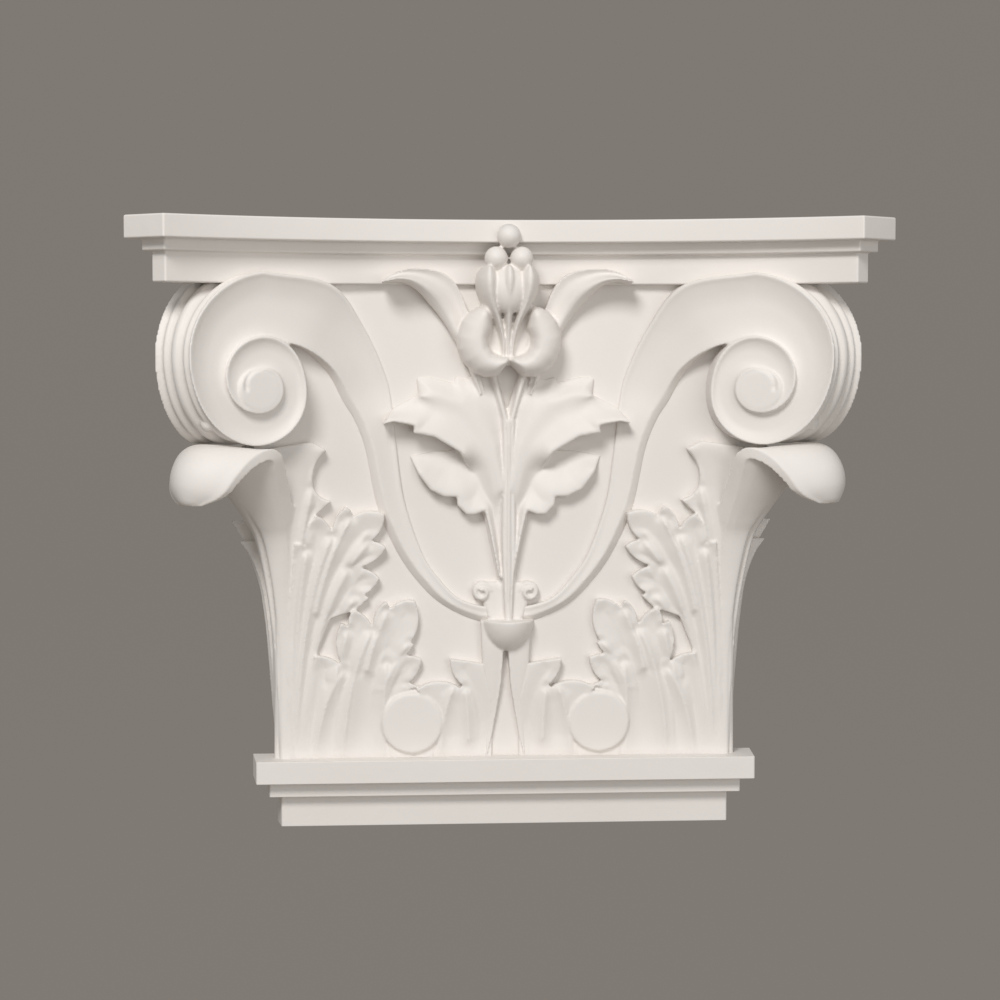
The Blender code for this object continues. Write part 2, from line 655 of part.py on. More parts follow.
def cup_mesh():
    """The round-bottomed cup where the ribbons meet."""
    across, up = place(*CUP_PLACE[:2])
    wide, deep = CUP_PLACE[2] * HALF_SHAFT, CUP_PLACE[3] * BELL_HEIGHT
    radii = (wide, BELL_MIDDLE_DEPTH + CUP_BULGE, deep)
    mesh = ball_mesh("cup", across, up, BELL_MIDDLE_DEPTH, radii, 0.0, 14, 8)
    shape = bmesh.new()
    shape.from_mesh(mesh)
    level = to_world((across, 0.0, up + 0.1 * deep))
    cut = bmesh.ops.bisect_plane(shape, geom=shape.verts[:] + shape.edges[:] + shape.faces[:],
                                 plane_co=level, plane_no=(0, 0, 1), clear_outer=True)["geom_cut"]
    bmesh.ops.contextual_create(shape, geom=[item for item in cut if isinstance(item, bmesh.types.BMEdge)])
    shape.to_mesh(mesh)
    shape.free()
    return mesh


def mirrored_to_side(mesh):
    """A copy of a mesh on the side, mirrored in the diagonal."""
    copy = mesh.copy()
    for vert in copy.vertices:
        across, out = vert.co.x, -vert.co.y
        vert.co.x, vert.co.y = out + DIAGONAL, DIAGONAL - across
    copy.flip_normals()
    return copy


def mirrored_to_left(mesh):
    """A copy of a mesh on the left half."""
    copy = mesh.copy()
    for vert in copy.vertices:
        vert.co.x = -vert.co.x
    copy.flip_normals()
    return copy


def add_object(mesh, collection):
    thing = bpy.data.objects.new(mesh.name, mesh)
    collection.objects.link(thing)
    return thing


def hide_helper(thing):
    thing.hide_render = True
    thing.display_type = "WIRE"


def paint_material():
    material = bpy.data.materials.new("primed_white")
    material.use_nodes = True
    shader = material.node_tree.nodes["Principled BSDF"]
    shader.inputs["Base Color"].default_value = PAINT_COLOUR
    shader.inputs["Roughness"].default_value = PAINT_ROUGHNESS
    return material


def clear_scene():
    for thing in list(bpy.data.objects):
        bpy.data.objects.remove(thing, do_unlink=True)


def right_half_meshes():
    """Relief of the right half: front pieces, and their copies on the side."""
    side_scroll = mirrored_to_side(scroll_mesh("side_scroll", RIBBON[:2]))
    corner_leaf = leaf_mesh("corner_leaf", CORNER_LEAF, CORNER_LEAF_CURL)
    meshes = [scroll_mesh("scroll", RIBBON), side_scroll, rim_mesh(), tongue_mesh()]
    meshes += [corner_leaf, mirrored_to_side(corner_leaf)]
    meshes.append(leaf_mesh("leaf_beside_corner", LEAF_BESIDE_CORNER))
    meshes.append(mirrored_to_side(leaf_mesh("side_leaf", LEAF_BESIDE_CORNER, flare=SIDE_LEAF_FLARE)))
    meshes.append(leaf_mesh("leaf_beside_disc", LEAF_BESIDE_DISC, DISC_LEAF_CURL))
    meshes.append(leaf_mesh("leaf_by_stalk", LEAF_BY_STALK, STALK_LEAF_CURL))
    meshes.append(shingle_mesh("upper_lobe", CENTRE_UPPER_LOBE, *UPPER_LOBE_LIFT))
    meshes.append(shingle_mesh("lower_lobe", CENTRE_LOWER_LOBE, *LOWER_LOBE_LIFT))
    meshes.append(blade_mesh("curled_tip", [(*place(a, u), w * HALF_SHAFT, r) for a, u, w, r in CURLED_TIP]))
    meshes.append(cylinder_mesh("disc", *place(*DISC_PLACE), DISC_RADIUS, BELL_MIDDLE_DEPTH + DISC_LIFT, 24))
    meshes.append(cylinder_mesh("curl", *place(*CURL_PLACE), CURL_RADIUS, BELL_MIDDLE_DEPTH + CURL_LIFT, 14))
    return meshes


def centre_meshes():
    """Relief on the middle line: stem, fork, cup, stalk, petals and fruit."""
    meshes = [blade_mesh("stem", share_rows(STEM_LINE, STEM_LIFT)), cup_mesh()]
    meshes.append(blade_mesh("stalk", share_rows(STALK_LINE, STEM_LIFT)))
    for side in (-1, 1):
        fork = [(MIDDLE_SHIFT + side * a, u, w, r) for a, u, w, r in FORK_LINE]
        meshes.append(blade_mesh("fork", share_rows(fork, STEM_LIFT)))
        across, up = place(MIDDLE_SHIFT + side * PETAL_PLACE[0], PETAL_PLACE[1])
        wide, tall = PETAL_PLACE[2] * HALF_SHAFT, PETAL_PLACE[3] * BELL_HEIGHT
        meshes.append(ball_mesh("petal", across, up, BELL_MIDDLE_DEPTH, (wide, PETAL_BULGE, tall),
                                side * PETAL_TILT, 16, 10))
    for across, up, size in BERRIES:
        x, z = place(across, up)
        radius = BERRY_RADIUS * size
        out = float(face_out(x)) + BERRY_OUT * radius
        meshes.append(ball_mesh("berry", x, z, out, (radius, BERRY_DEPTH * radius, radius)))
    for across, up in DROPS:
        line = [(across * lean, up + below, half, raised) for lean, below, half, raised in DROP_LINE]
        meshes.append(blade_mesh("drop", share_rows(line, STEM_LIFT)))
    return meshes


def build():
    clear_scene()
    parts = bpy.data.collections.new("corinthian_capital")
    carving = bpy.data.collections.new("carving")
    helpers = bpy.data.collections.new("cutters")
    for collection in (parts, carving, helpers):
        bpy.context.scene.collection.children.link(collection)

    capital = add_object(bell_mesh(), parts)
    capital.name = "capital"
    capital.data.materials.append(paint_material())
    right = right_half_meshes()
    left = [mirrored_to_left(mesh) for mesh in right]
    for mesh in [base_mesh(), abacus_mesh()] + right + left + centre_meshes():
        hide_helper(add_object(mesh, carving))
    reach = 4 * HALF_SHAFT
    box = [(-reach, -reach), (reach, -reach), (reach, 0.0), (-reach, 0.0)]
    wall = loft_mesh("wall", [[(across, out, up) for across, out in box] for up in (-reach, reach)])
    wall_cutter = add_object(wall, helpers)
    hide_helper(wall_cutter)

    join = capital.modifiers.new("carving", "BOOLEAN")
    join.operation, join.operand_type, join.collection = "UNION", "COLLECTION", carving
    flat = capital.modifiers.new("flat back", "BOOLEAN")
    flat.operation, flat.object = "DIFFERENCE", wall_cutter
    for modifier in (join, flat):
        modifier.solver = "EXACT"


build()
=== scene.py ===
"""A moulded pilaster capital in white primer. The carving is worked out in millimetres as (across, out,
up): across from the middle line, out from the wall, and up from the underside."""

import math

import bmesh
import bpy
import numpy as np
from mathutils import Matrix, Vector
from mathutils.geometry import delaunay_2d_cdt


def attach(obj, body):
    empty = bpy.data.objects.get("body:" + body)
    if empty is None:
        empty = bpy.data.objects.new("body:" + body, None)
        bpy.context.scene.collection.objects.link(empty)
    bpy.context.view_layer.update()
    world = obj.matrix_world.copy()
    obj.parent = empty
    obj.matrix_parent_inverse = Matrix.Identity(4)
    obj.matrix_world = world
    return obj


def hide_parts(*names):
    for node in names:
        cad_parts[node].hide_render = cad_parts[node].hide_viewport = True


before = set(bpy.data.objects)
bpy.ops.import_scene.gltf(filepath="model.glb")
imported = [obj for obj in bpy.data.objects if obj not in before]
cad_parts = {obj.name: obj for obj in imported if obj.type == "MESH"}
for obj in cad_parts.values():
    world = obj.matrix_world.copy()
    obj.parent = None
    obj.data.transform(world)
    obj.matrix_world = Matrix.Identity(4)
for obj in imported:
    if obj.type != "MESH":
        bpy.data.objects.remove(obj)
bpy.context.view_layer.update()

# The pilaster's shaft, the bell and the abacus, all in millimetres
HALF_SHAFT = 110.0
SHAFT_DEPTH = 15.0
# The corner's diagonal runs through all points whose across is this much more than their out
DIAGONAL = HALF_SHAFT - SHAFT_DEPTH
BASE_HEIGHT = 33.8
BELL_HEIGHT = 230.9
BELL_TOP = BASE_HEIGHT + BELL_HEIGHT
HEIGHT = 295.6
# The bell's depth on the middle line, how far its corners are cut off, and how far they flare
BELL_MIDDLE = 12.0
BELL_CLIP = 4.0
BELL_FLARE = 28.0
BELL_FLARE_START = 0.25
LEAST_HOLLOW = 0.1
BELL_RINGS = 60
BAND_OVERLAP = 3.0
# The abacus corners, the hollow between them, and how far its lower bands stand back
HORN_HALF = 161.2
HORN_DEPTH = 85.8
ABACUS_HOLLOW = 57.0
LOW_SETBACK = 13.0
MIDDLE_SETBACK = 8.3
ABACUS_LEVELS = (BELL_TOP, 279.1, 284.7, HEIGHT)
# Each base band's lower level, half width and depth, with the draft of its sides
BASE_BANDS = ((0.0, 109.5, 15.0), (15.5, 115.2, 20.7), (22.8, 121.5, 27.0))
BASE_DRAFT = 2
# The volute's face stands this far in front of the abacus's low band
VOLUTE_PROUD = 8.0
VOLUTE_RADIUS = 49.5
VOLUTE_BACK = 27.0
BEHIND_DIAGONAL = 3.0
# Its band: the dip across it, the lip along its outer edge, and the step up from turn to turn
VOLUTE_HOLLOW = 3.6
HOLLOW_SHARE = 0.17
LIP_HEIGHT = 0.6
LIP_PLACE = 0.9
LIP_WIDTH = 1.1
FACE_SINK = 0.9
TURN_RISE = 1.7
MOST_TURNS_UP = 1.5
HOLLOW_TURNS = 1.1
HOLLOW_FADE = 0.35
# The ribbon's lower edge slopes down to the bell, and both fade in over this many rows from the volute
SLOPE_WIDTH = 4.2
SLOPE_ROWS = 26.0
BELL_ROWS = 14.0
# The rim: which turns of the spiral it follows, in how many steps, and how far it lies behind the face
RIM_TURNS = (0.01, 0.60)
RIM_STEPS = 240
RIM_BEHIND_FACE = 1.6
# The groove up the corner strip, and the level from which it fades out
GROOVE_DEPTH = 2.6
GROOVE_WIDTH = 1.3
GROOVE_TOP = 135
GROOVE_FADE = 25.0
RELIEF_BACK = 6.0
# A leaf's outline: how much further its notches are cut, and how far its sides bow out
NOTCH_DEEPER = 1.6
EDGE_BULGE = 0.14
# A leaf's ribs bend this share of the way across and up, and its flutes end this far along them
RIB_BEND_ACROSS = 0.2
RIB_BEND_UP = 0.75
FLUTE_END = 0.86
# Heights on a leaf, and how far in from its edge, tips and notches they are felt
LEAF_DOME = 2.2
DOME_REACH = 3.0
TIP_CURL = 1.0
TIP_REACH = 8.0
NOTCH_SINK = 0.9
NOTCH_REACH = 4.0
FLARE_START = 0.65
# The bell and the carving end this far short of the wall, so that no two pieces share the flat back
BELL_STEP = 0.2
CARVING_STEP = 0.4
# The joined surfaces' cell size in metres, and the most triangles that each keeps
VOXEL = 0.00058
MOST_TRIANGLES = 190000
SOFTEN_TIMES = 3
EDGE_ROUNDING = 0.0009
ROUNDED_ANGLE = 25

# The scroll's middle in shares, and its radius after each quarter turn in shares of VOLUTE_RADIUS
SCROLL_CENTRE = (1.061, 0.800)
QUARTER_RADII = (1.045, 0.66, 0.61, 0.40, 0.43, 0.35, 0.305, 0.176, 0.123, 0.10, 0.075, 0.055, 0.04, 0.03)


def place(across, up):
    """Shares of the shaft's half width and the bell's height as millimetres."""
    return across * HALF_SHAFT, BASE_HEIGHT + up * BELL_HEIGHT


def smooth(value):
    """Eases from 0 to 1 as the value does, and stays level beyond them."""
    value = np.clip(value, 0.0, 1.0)
    return value * value * (3 - 2 * value)


def hollow_out(across, corner_across, corner_out, hollow):
    """Distance from the wall of a hollow front, a circle arc through both corners."""
    radius = (corner_across**2 + hollow**2) / (2 * hollow)
    reach = np.clip(np.abs(across), 0.0, radius * 0.95)
    return corner_out - hollow + radius - np.sqrt(radius**2 - reach**2)


def bell_corner(up):
    """Distance from the wall of the bell's corner at this level."""
    share = np.clip((up - BASE_HEIGHT) / BELL_HEIGHT, 0.0, 1.0)
    return SHAFT_DEPTH + BELL_FLARE * smooth((share - BELL_FLARE_START) / (1 - BELL_FLARE_START))


def ground_out(across, up):
    """Distance from the wall of the bell's front."""
    corner = bell_corner(up)
    corner_across = corner + DIAGONAL - BELL_CLIP
    hollow = np.maximum(corner - BELL_MIDDLE, LEAST_HOLLOW)
    radius = (corner_across**2 + hollow**2) / (2 * hollow)
    reach = np.minimum(np.abs(across), corner_across)
    return BELL_MIDDLE + radius - np.sqrt(radius**2 - reach**2)


def face_out(across):
    """Distance from the wall of the volute's face."""
    return hollow_out(across, HORN_HALF, HORN_DEPTH - LOW_SETBACK, ABACUS_HOLLOW) + VOLUTE_PROUD


def catmull(values, steps):
    """Points on a smooth curve through the values."""
    values = np.asarray(values, float)
    ends = np.vstack([2 * values[0] - values[1], values, 2 * values[-1] - values[-2]])
    t = (np.arange(steps) / steps)[:, None]
    found = []
    for a, b, c, d in zip(ends[:-3], ends[1:-2], ends[2:-1], ends[3:]):
        found.append(0.5 * (2 * b + (c - a) * t + (2 * a - 5 * b + 4 * c - d) * t**2
                            + (3 * b - a - 3 * c + d) * t**3))
    return np.vstack(found + [values[-1:]])


def gap(points, lines):
    """The distance from each point to the nearest of some lines of points."""
    nearest = np.full(len(points), 1e3)
    for line in lines:
        line = np.asarray(line, float)
        if len(line) == 1:
            nearest = np.minimum(nearest, np.linalg.norm(points - line[0], axis=1))
            continue
        for start, end in zip(line[:-1], line[1:]):
            run = end - start
            share = np.clip((points - start) @ run / max(run @ run, 1e-9), 0.0, 1.0)
            nearest = np.minimum(nearest, np.linalg.norm(points - start - share[:, None] * run, axis=1))
    return nearest


def resample(line, step):
    """The same line with its points at most a step apart."""
    found = [line[0]]
    for start, end in zip(line[:-1], line[1:]):
        count = max(int(np.ceil(np.linalg.norm(np.subtract(end, start)) / step)), 1)
        for k in range(1, count + 1):
            found.append(tuple(np.add(start, np.subtract(end, start) * k / count)))
    return found


def blended(points, features):
    """Heights between lines of known height, each point taking most from the lines nearest to it."""
    total = np.zeros(len(points))
    weights = np.zeros(len(points))
    for line, height in features:
        weight = 1.0 / (gap(points, [line]) + 0.15) ** 2.0
        total += weight * height
        weights += weight
    return total / weights


def scooped(points, arrises, hollows, depth):
    """How far each point lies below the arrises, in flutes that are deepest along the hollow lines."""
    to_arris = gap(points, arrises)
    to_hollow = gap(points, hollows)
    across = to_arris + to_hollow + 1e-6
    return np.minimum(depth, 0.42 * across) * (1 - (1 - to_arris / across) ** 2)


def to_world(points, side=1.0):
    """Millimetres (across, out, up) as metres in the scene, on this side of the middle line."""
    return ((points * (side, -1.0, 1.0) - (0.0, 0.0, HEIGHT / 2)) / 1000).tolist()


class Carving:
    """Closed solids that are joined and then made into one surface."""

    def __init__(self):
        self.shape = bmesh.new()

    def add(self, points, faces, twin=True, beside=False):
        """Adds a solid and its twin on the left half. With beside, it goes on the side, round the corner."""
        points = np.asarray(points, float)
        if beside:
            points = np.column_stack([points[:, 1] + DIAGONAL, points[:, 0] - DIAGONAL, points[:, 2]])
        for side in (1.0, -1.0) if twin else (1.0,):
            mesh = bpy.data.meshes.new("solid")
            mesh.from_pydata(to_world(points, side), [], faces)
            one = bmesh.new()
            one.from_mesh(mesh)
            bmesh.ops.recalc_face_normals(one, faces=one.faces)
            one.to_mesh(mesh)
            one.free()
            self.shape.from_mesh(mesh)
            bpy.data.meshes.remove(mesh)


def loft(rings):
    """Points and faces of a solid through rings of equally many points."""
    count = len(rings[0])
    points = np.vstack(rings)
    faces = []
    for row in range(len(rings) - 1):
        start = row * count
        for i in range(count):
            j = (i + 1) % count
            faces.append((start + i, start + j, start + count + j, start + count + i))
    faces.append(tuple(range(count)))
    faces.append(tuple(range(len(points) - count, len(points))))
    return points, faces


def pad(outline, out_at, step=0.9, back=RELIEF_BACK):
    """Points and faces of a solid with this outline and a flat back. Its front is at out_at(points, how far
    each is from the outline), over triangles about a step wide."""
    ring = resample(list(outline) + [outline[0]], step)[:-1]
    closed = [ring + [ring[0]]]
    low, high = np.min(ring, axis=0), np.max(ring, axis=0)
    rows = np.arange(low[1] + step / 2, high[1], step * 0.87)
    columns = np.arange(low[0], high[0], step)
    grid = np.array([(x + (i % 2) * step / 2, z) for i, z in enumerate(rows) for x in columns])
    grid = grid[gap(grid, closed) > step * 0.45]
    spots = [Vector(point) for point in ring] + [Vector(point) for point in grid]
    edges = [(i, (i + 1) % len(ring)) for i in range(len(ring))]
    found, _, triangles, *_ = delaunay_2d_cdt(spots, edges, [], 1, 1e-6)
    flat = np.array([tuple(p) for p in found])
    outs = out_at(flat, gap(flat, closed))
    shape = bmesh.new()
    fronts = [shape.verts.new((x, out, z)) for (x, z), out in zip(flat, outs)]
    for triangle in triangles:
        shape.faces.new([fronts[i] for i in triangle])
    bmesh.ops.delete(shape, geom=[v for v in shape.verts if not v.link_faces], context="VERTS")
    rim = [edge for edge in shape.edges if edge.is_boundary]
    pulled = bmesh.ops.extrude_edge_only(shape, edges=rim)["geom"]
    for vert in [item for item in pulled if isinstance(item, bmesh.types.BMVert)]:
        vert.co.y = back
    last = [item for item in pulled if isinstance(item, bmesh.types.BMEdge) and item.is_boundary]
    bmesh.ops.contextual_create(shape, geom=last)
    shape.verts.index_update()
    points = np.array([tuple(v.co) for v in shape.verts])
    faces = [tuple(v.index for v in face.verts) for face in shape.faces]
    shape.free()
    return points, faces


def bulged(points, bulge):
    """An outline whose sides bow out a little between its points."""
    found = [points[0]]
    for start, end in zip(points[:-1], points[1:]):
        start, end = np.array(start), np.array(end)
        side = np.array((start[1] - end[1], end[0] - start[0]))
        middle = (start + end) / 2 - bulge * side * 2
        for t in (0.2, 0.4, 0.6, 0.8, 1.0):
            found.append(tuple((1 - t) ** 2 * start + 2 * t * (1 - t) * middle + t**2 * end))
    return found


def deepened(spots):
    """The same tips and notches with each notch cut further in between its tips."""
    spots = [np.array(spot) for spot in spots]
    for i in range(1, len(spots) - 1, 2):
        between = (spots[i - 1] + spots[i + 1]) / 2
        inward = spots[i] - between
        spots[i] = spots[i] + inward * min(NOTCH_DEEPER / max(np.linalg.norm(inward), 1e-6), 0.5)
    return [tuple(spot) for spot in spots]


def leaf(rise, ends, fall, lift, curl, depth, flare=0.0):
    """A fluted leaf. Its ends are tips and notches in turn, each with how far up its rib starts. It stands
    proud by lift at the foot and by curl more at the top, and flare throws its top outwards."""
    rise, fall = [place(*p) for p in rise], [place(*p) for p in fall]
    spots = [place(*end[:2]) for end in ends]
    spots = deepened(spots)
    outline = rise + bulged(spots, EDGE_BULGE) + fall
    foot_from, foot_to = np.array(rise[0]), np.array(fall[-1])
    top = max(p[1] for p in spots)
    bottom = rise[0][1]
    arrises, hollows = [resample(outline, 1.2)], []
    for i, (end, (_, _, start)) in enumerate(zip(spots, ends)):
        foot = foot_from + (foot_to - foot_from) * (i + 0.5) / len(ends)
        end = np.array(end)
        bend = np.array((foot[0] * (1 - RIB_BEND_ACROSS) + end[0] * RIB_BEND_ACROSS,
                         foot[1] + RIB_BEND_UP * (end[1] - foot[1])))
        stop = 1.0 if i % 2 else FLUTE_END
        t = np.linspace(start, stop, 14)[:, None]
        line = (1 - t) ** 2 * foot + 2 * t * (1 - t) * bend + t**2 * end
        (arrises if i % 2 else hollows).append(line)
    tips = [[spots[i]] for i in range(0, len(spots), 2)]
    notches = [[spots[i]] for i in range(1, len(spots), 2)]

    def out_at(points, edge):
        share = (points[:, 1] - bottom) / (top - bottom)
        flute = scooped(points, arrises, hollows, depth) * smooth(share * 4)
        tip = TIP_CURL * smooth(1 - gap(points, tips) / TIP_REACH)
        sink = NOTCH_SINK * smooth(1 - gap(points, notches) / NOTCH_REACH)
        dome = LEAF_DOME * (1 - np.exp(-edge / DOME_REACH)) * smooth(share * 4)
        spread = flare * np.maximum((share - FLARE_START) / (1 - FLARE_START), 0.0) ** 2
        ground = ground_out(points[:, 0], points[:, 1])
        return ground + lift + curl * smooth(share) + dome - flute + tip - sink + spread

    return pad(outline, out_at)


def puffed(outline, lift, puff, half):
    """A cushion-like form: it swells by puff from its outline to this far in."""

    def out_at(points, edge):
        t = np.minimum(edge / half, 1.0)
        swell = lift + puff * np.sqrt(np.maximum(2 * t - t * t, 0.0))
        return ground_out(points[:, 0], points[:, 1]) + swell

    return pad(outline, out_at)


def blade(rows, profile):
    """A band along rows of (across, up, half width, raise) with this cross-section."""
    rows = np.asarray(rows, float)
    run = np.gradient(rows[:, :2], axis=0)
    run /= np.linalg.norm(run, axis=1)[:, None]
    sides = np.linspace(-1, 1, len(profile))
    rings = []
    for (across, up, half, lift), (dx, dz) in zip(rows, run):
        x = across - dz * half * sides
        z = up + dx * half * sides
        out = ground_out(x, z) + lift * np.asarray(profile)
        ring = list(zip(x, out, z))
        ring.append((x[-1], RELIEF_BACK, z[-1]))
        ring.append((x[0], RELIEF_BACK, z[0]))
        rings.append(ring)
    return loft(rings)


def shares(line, steps):
    """Smooth rows in millimetres from (across, up, half width, raise) shares."""
    rows = catmull(line, steps)
    across, up = place(rows[:, 0], rows[:, 1])
    return np.column_stack([across, up, rows[:, 2] * HALF_SHAFT, rows[:, 3]])


def ball(across, out, up, radii, rings=24):
    """Points and faces of an egg-shaped solid with these half sizes across, out and up."""
    shape = bmesh.new()
    bmesh.ops.create_uvsphere(shape, u_segments=rings * 2, v_segments=rings, radius=1.0)
    shape.transform(Matrix.Translation((across, out, up)) @ Matrix.Diagonal((*radii, 1.0)))
    shape.verts.index_update()
    points = np.array([tuple(v.co) for v in shape.verts])
    faces = [tuple(v.index for v in face.verts) for face in shape.faces]
    shape.free()
    return points, faces


def spiral(turn):
    """The volute's outer edge after this many turns from its top."""
    spot = min(int(turn * 4), len(QUARTER_RADII) - 2)
    t = turn * 4 - spot
    last = len(QUARTER_RADII) - 1
    a, b, c, d = [QUARTER_RADII[min(max(spot + k, 0), last)] for k in (-1, 0, 1, 2)]
    radius = 0.5 * (2 * b + (c - a) * t + (2 * a - 5 * b + 4 * c - d) * t**2
                    + (3 * b - a - 3 * c + d) * t**3)
    angle = math.pi / 2 - turn * 2 * math.pi
    eye_across, eye_up = place(*SCROLL_CENTRE)
    return np.array((eye_across + VOLUTE_RADIUS * radius * math.cos(angle),
                     eye_up + VOLUTE_RADIUS * radius * math.sin(angle)))


# Rows of the ribbon from the volute down to the cup: its upper edge, its lower edge, and how far each
# stands out between the bell and the volute's face
RIBBON = (
    ((0.771, 0.999), (0.903, 0.865), 0.80, 0.95),
    ((0.626, 0.909), (0.793, 0.819), 0.35, 0.75),
    ((0.534, 0.813), (0.723, 0.757), 0.14, 0.50),
    ((0.504, 0.748), (0.670, 0.715), 0.12, 0.45),
    ((0.486, 0.669), (0.622, 0.652), 0.15, 0.45),
    ((0.451, 0.548), (0.569, 0.531), 0.20, 0.45),
    ((0.372, 0.435), (0.477, 0.431), 0.25, 0.45),
    ((0.298, 0.381), (0.372, 0.362), 0.30, 0.45),
    ((0.214, 0.339), (0.271, 0.320), 0.35, 0.45),
    ((0.120, 0.322), (0.140, 0.290), 0.35, 0.40),
    ((0.050, 0.318), (0.050, 0.286), 0.30, 0.35),
)


def scroll(ribbon, turn_steps=72, columns=30, ribbon_steps=9, turns=2.25):
    """The volute's spiral band and the ribbon that carries it. Each turn steps up from the one before."""
    eye_side = [(*place(*upper), *place(*lower), a, b) for upper, lower, a, b in reversed(ribbon)]
    start = [*spiral(0), *spiral(1), 1.0, 1.0]
    ribbon_rows = catmull(eye_side + [start], ribbon_steps)[:-1]
    rows = [(row[:2], row[2:4], row[4], row[5], 0.0) for row in ribbon_rows]
    first = len(rows)
    for i in range(int(turn_steps * turns) + 1):
        turn = i / turn_steps
        rows.append((spiral(turn), spiral(turn + 1), 1.0, 1.0, turn))
    front = []
    for i, (upper, lower, upper_raise, lower_raise, turn) in enumerate(rows):
        width = math.dist(upper, lower)
        slope = min(SLOPE_WIDTH * float(smooth((first - i) / SLOPE_ROWS)), width * 0.4) if i < first else 0.0
        crest = 1 - slope / width
        side = np.linspace(0, crest, columns - 5)
        side = np.concatenate([side, np.linspace(crest, 1, 6)[1:] if slope else np.linspace(0.995, 1, 5)])
        x = upper[0] + (lower[0] - upper[0]) * side
        z = upper[1] + (lower[1] - upper[1]) * side
        lean = upper_raise + (lower_raise - upper_raise) * side
        onto_bell = smooth((first - i) / BELL_ROWS)
        bell_out = ground_out(x, z)
        out = bell_out + lean * (face_out(x) - bell_out)
        out = out * onto_bell + face_out(x) * (1 - onto_bell) + TURN_RISE * min(turn, MOST_TURNS_UP)
        hollow = min(VOLUTE_HOLLOW, width * HOLLOW_SHARE) * (1 - smooth((turn - HOLLOW_TURNS) / HOLLOW_FADE))
        hollow *= 1.0 if i >= first else 0.2 + 0.8 * smooth((i / first - 0.5) / 0.5)
        dip = hollow * np.sin(np.pi * np.clip((side - 0.05) / 0.95, 0, 1) ** 0.9) ** 1.1
        floor = 0.6 * hollow * smooth((side - 0.5) / 0.5)
        lip = LIP_HEIGHT * np.exp(-((side * width - LIP_PLACE) / LIP_WIDTH) ** 2)
        out = out - dip - floor + lip - FACE_SINK
        if slope:
            fall = np.clip((side - crest) / (1 - crest), 0, 1)
            out = out * (1 - fall) + (bell_out + 0.2) * fall
        front.append(list(zip(x, out, z)))
    last = columns - 1
    points = [point for line in front for point in line]

    def at(i, j):
        return i * columns + j

    faces = [(at(i, j), at(i + 1, j), at(i + 1, j + 1), at(i, j + 1))
             for i in range(len(front) - 1) for j in range(last)]
    inner = len(front) - turn_steps
    faces += [(at(i, last), at(i + 1, last), at(i + 1 + turn_steps, 0), at(i + turn_steps, 0))
              for i in range(first, inner - 1)]
    faces.append(tuple([at(i, last) for i in range(inner - 1, len(front))]
                       + [at(len(front) - 1, j) for j in range(last - 1, -1, -1)]))
    turn_end = first + turn_steps
    backs = {}
    for i in range(turn_end + 1):
        behind = front[i][0][0] - DIAGONAL - BEHIND_DIAGONAL
        sunk = max(VOLUTE_BACK, behind) if i >= first else RELIEF_BACK
        backs[i, 0] = len(points)
        points.append((front[i][0][0], sunk, front[i][0][2]))
        if i < first:
            backs[i, 1] = len(points)
            points.append((front[i][last][0], sunk, front[i][last][2]))
    backs[first, 1] = backs[turn_end, 0]
    for i in range(turn_end):
        face = [at(i, 0), at(i + 1, 0), backs[i + 1, 0], backs[i, 0]]
        if i + 1 == turn_end:
            face.insert(2, at(first, last))
        faces.append(tuple(face))
    for i in range(first):
        faces.append((at(i, last), at(i + 1, last), backs[i + 1, 1], backs[i, 1]))
        faces.append((backs[i, 0], backs[i + 1, 0], backs[i + 1, 1], backs[i, 1]))
    faces.append(tuple([backs[i, 0] for i in range(first, turn_end + 1)]))
    faces.append(tuple([at(0, j) for j in range(last + 1)] + [backs[0, 1], backs[0, 0]]))
    return np.array(points), faces


# The rim's flutes: how far out from its middle line, as a share, and how deep they are there
RIM_SHAPE = ((0.00, 0.12, 0.24, 0.34, 0.44, 0.54, 0.64, 0.74, 0.82, 0.87, 0.90, 0.95, 1.00),
             (0.0, -0.2, -1.4, -2.6, -2.2, -0.8, -0.3, -0.9, -2.4, -3.6, -4.2, -4.2, -1.0))


def rim():
    """The fluted band round the corner, between the front volute and the side one."""
    eye = np.array(place(*SCROLL_CENTRE))
    t = np.linspace(0.0, 1.0, 81)
    off = np.abs(t - 0.5) * 2
    flutes = np.interp(off, RIM_SHAPE[0], RIM_SHAPE[1])
    rings = []
    for turn in np.linspace(*RIM_TURNS, RIM_STEPS):
        across, up = spiral(turn)
        near = np.array((across, float(face_out(across)) - RIM_BEHIND_FACE, up))
        far = np.array((near[1] + DIAGONAL, near[0] - DIAGONAL, up))
        angle = math.pi / 2 - turn * 2 * math.pi
        level = math.cos(angle) * math.sqrt(0.5)
        outward = np.array((level, level, math.sin(angle)))
        outward /= np.linalg.norm(outward)
        radius = math.dist((across, up), eye)
        ring = list(near + (far - near) * t[:, None] + outward * flutes[:, None])
        ring.append(near + (far - near) * 0.75 - outward * radius * 0.5)
        ring.append(near + (far - near) * 0.25 - outward * radius * 0.5)
        rings.append(np.array(ring))
    return loft(rings)


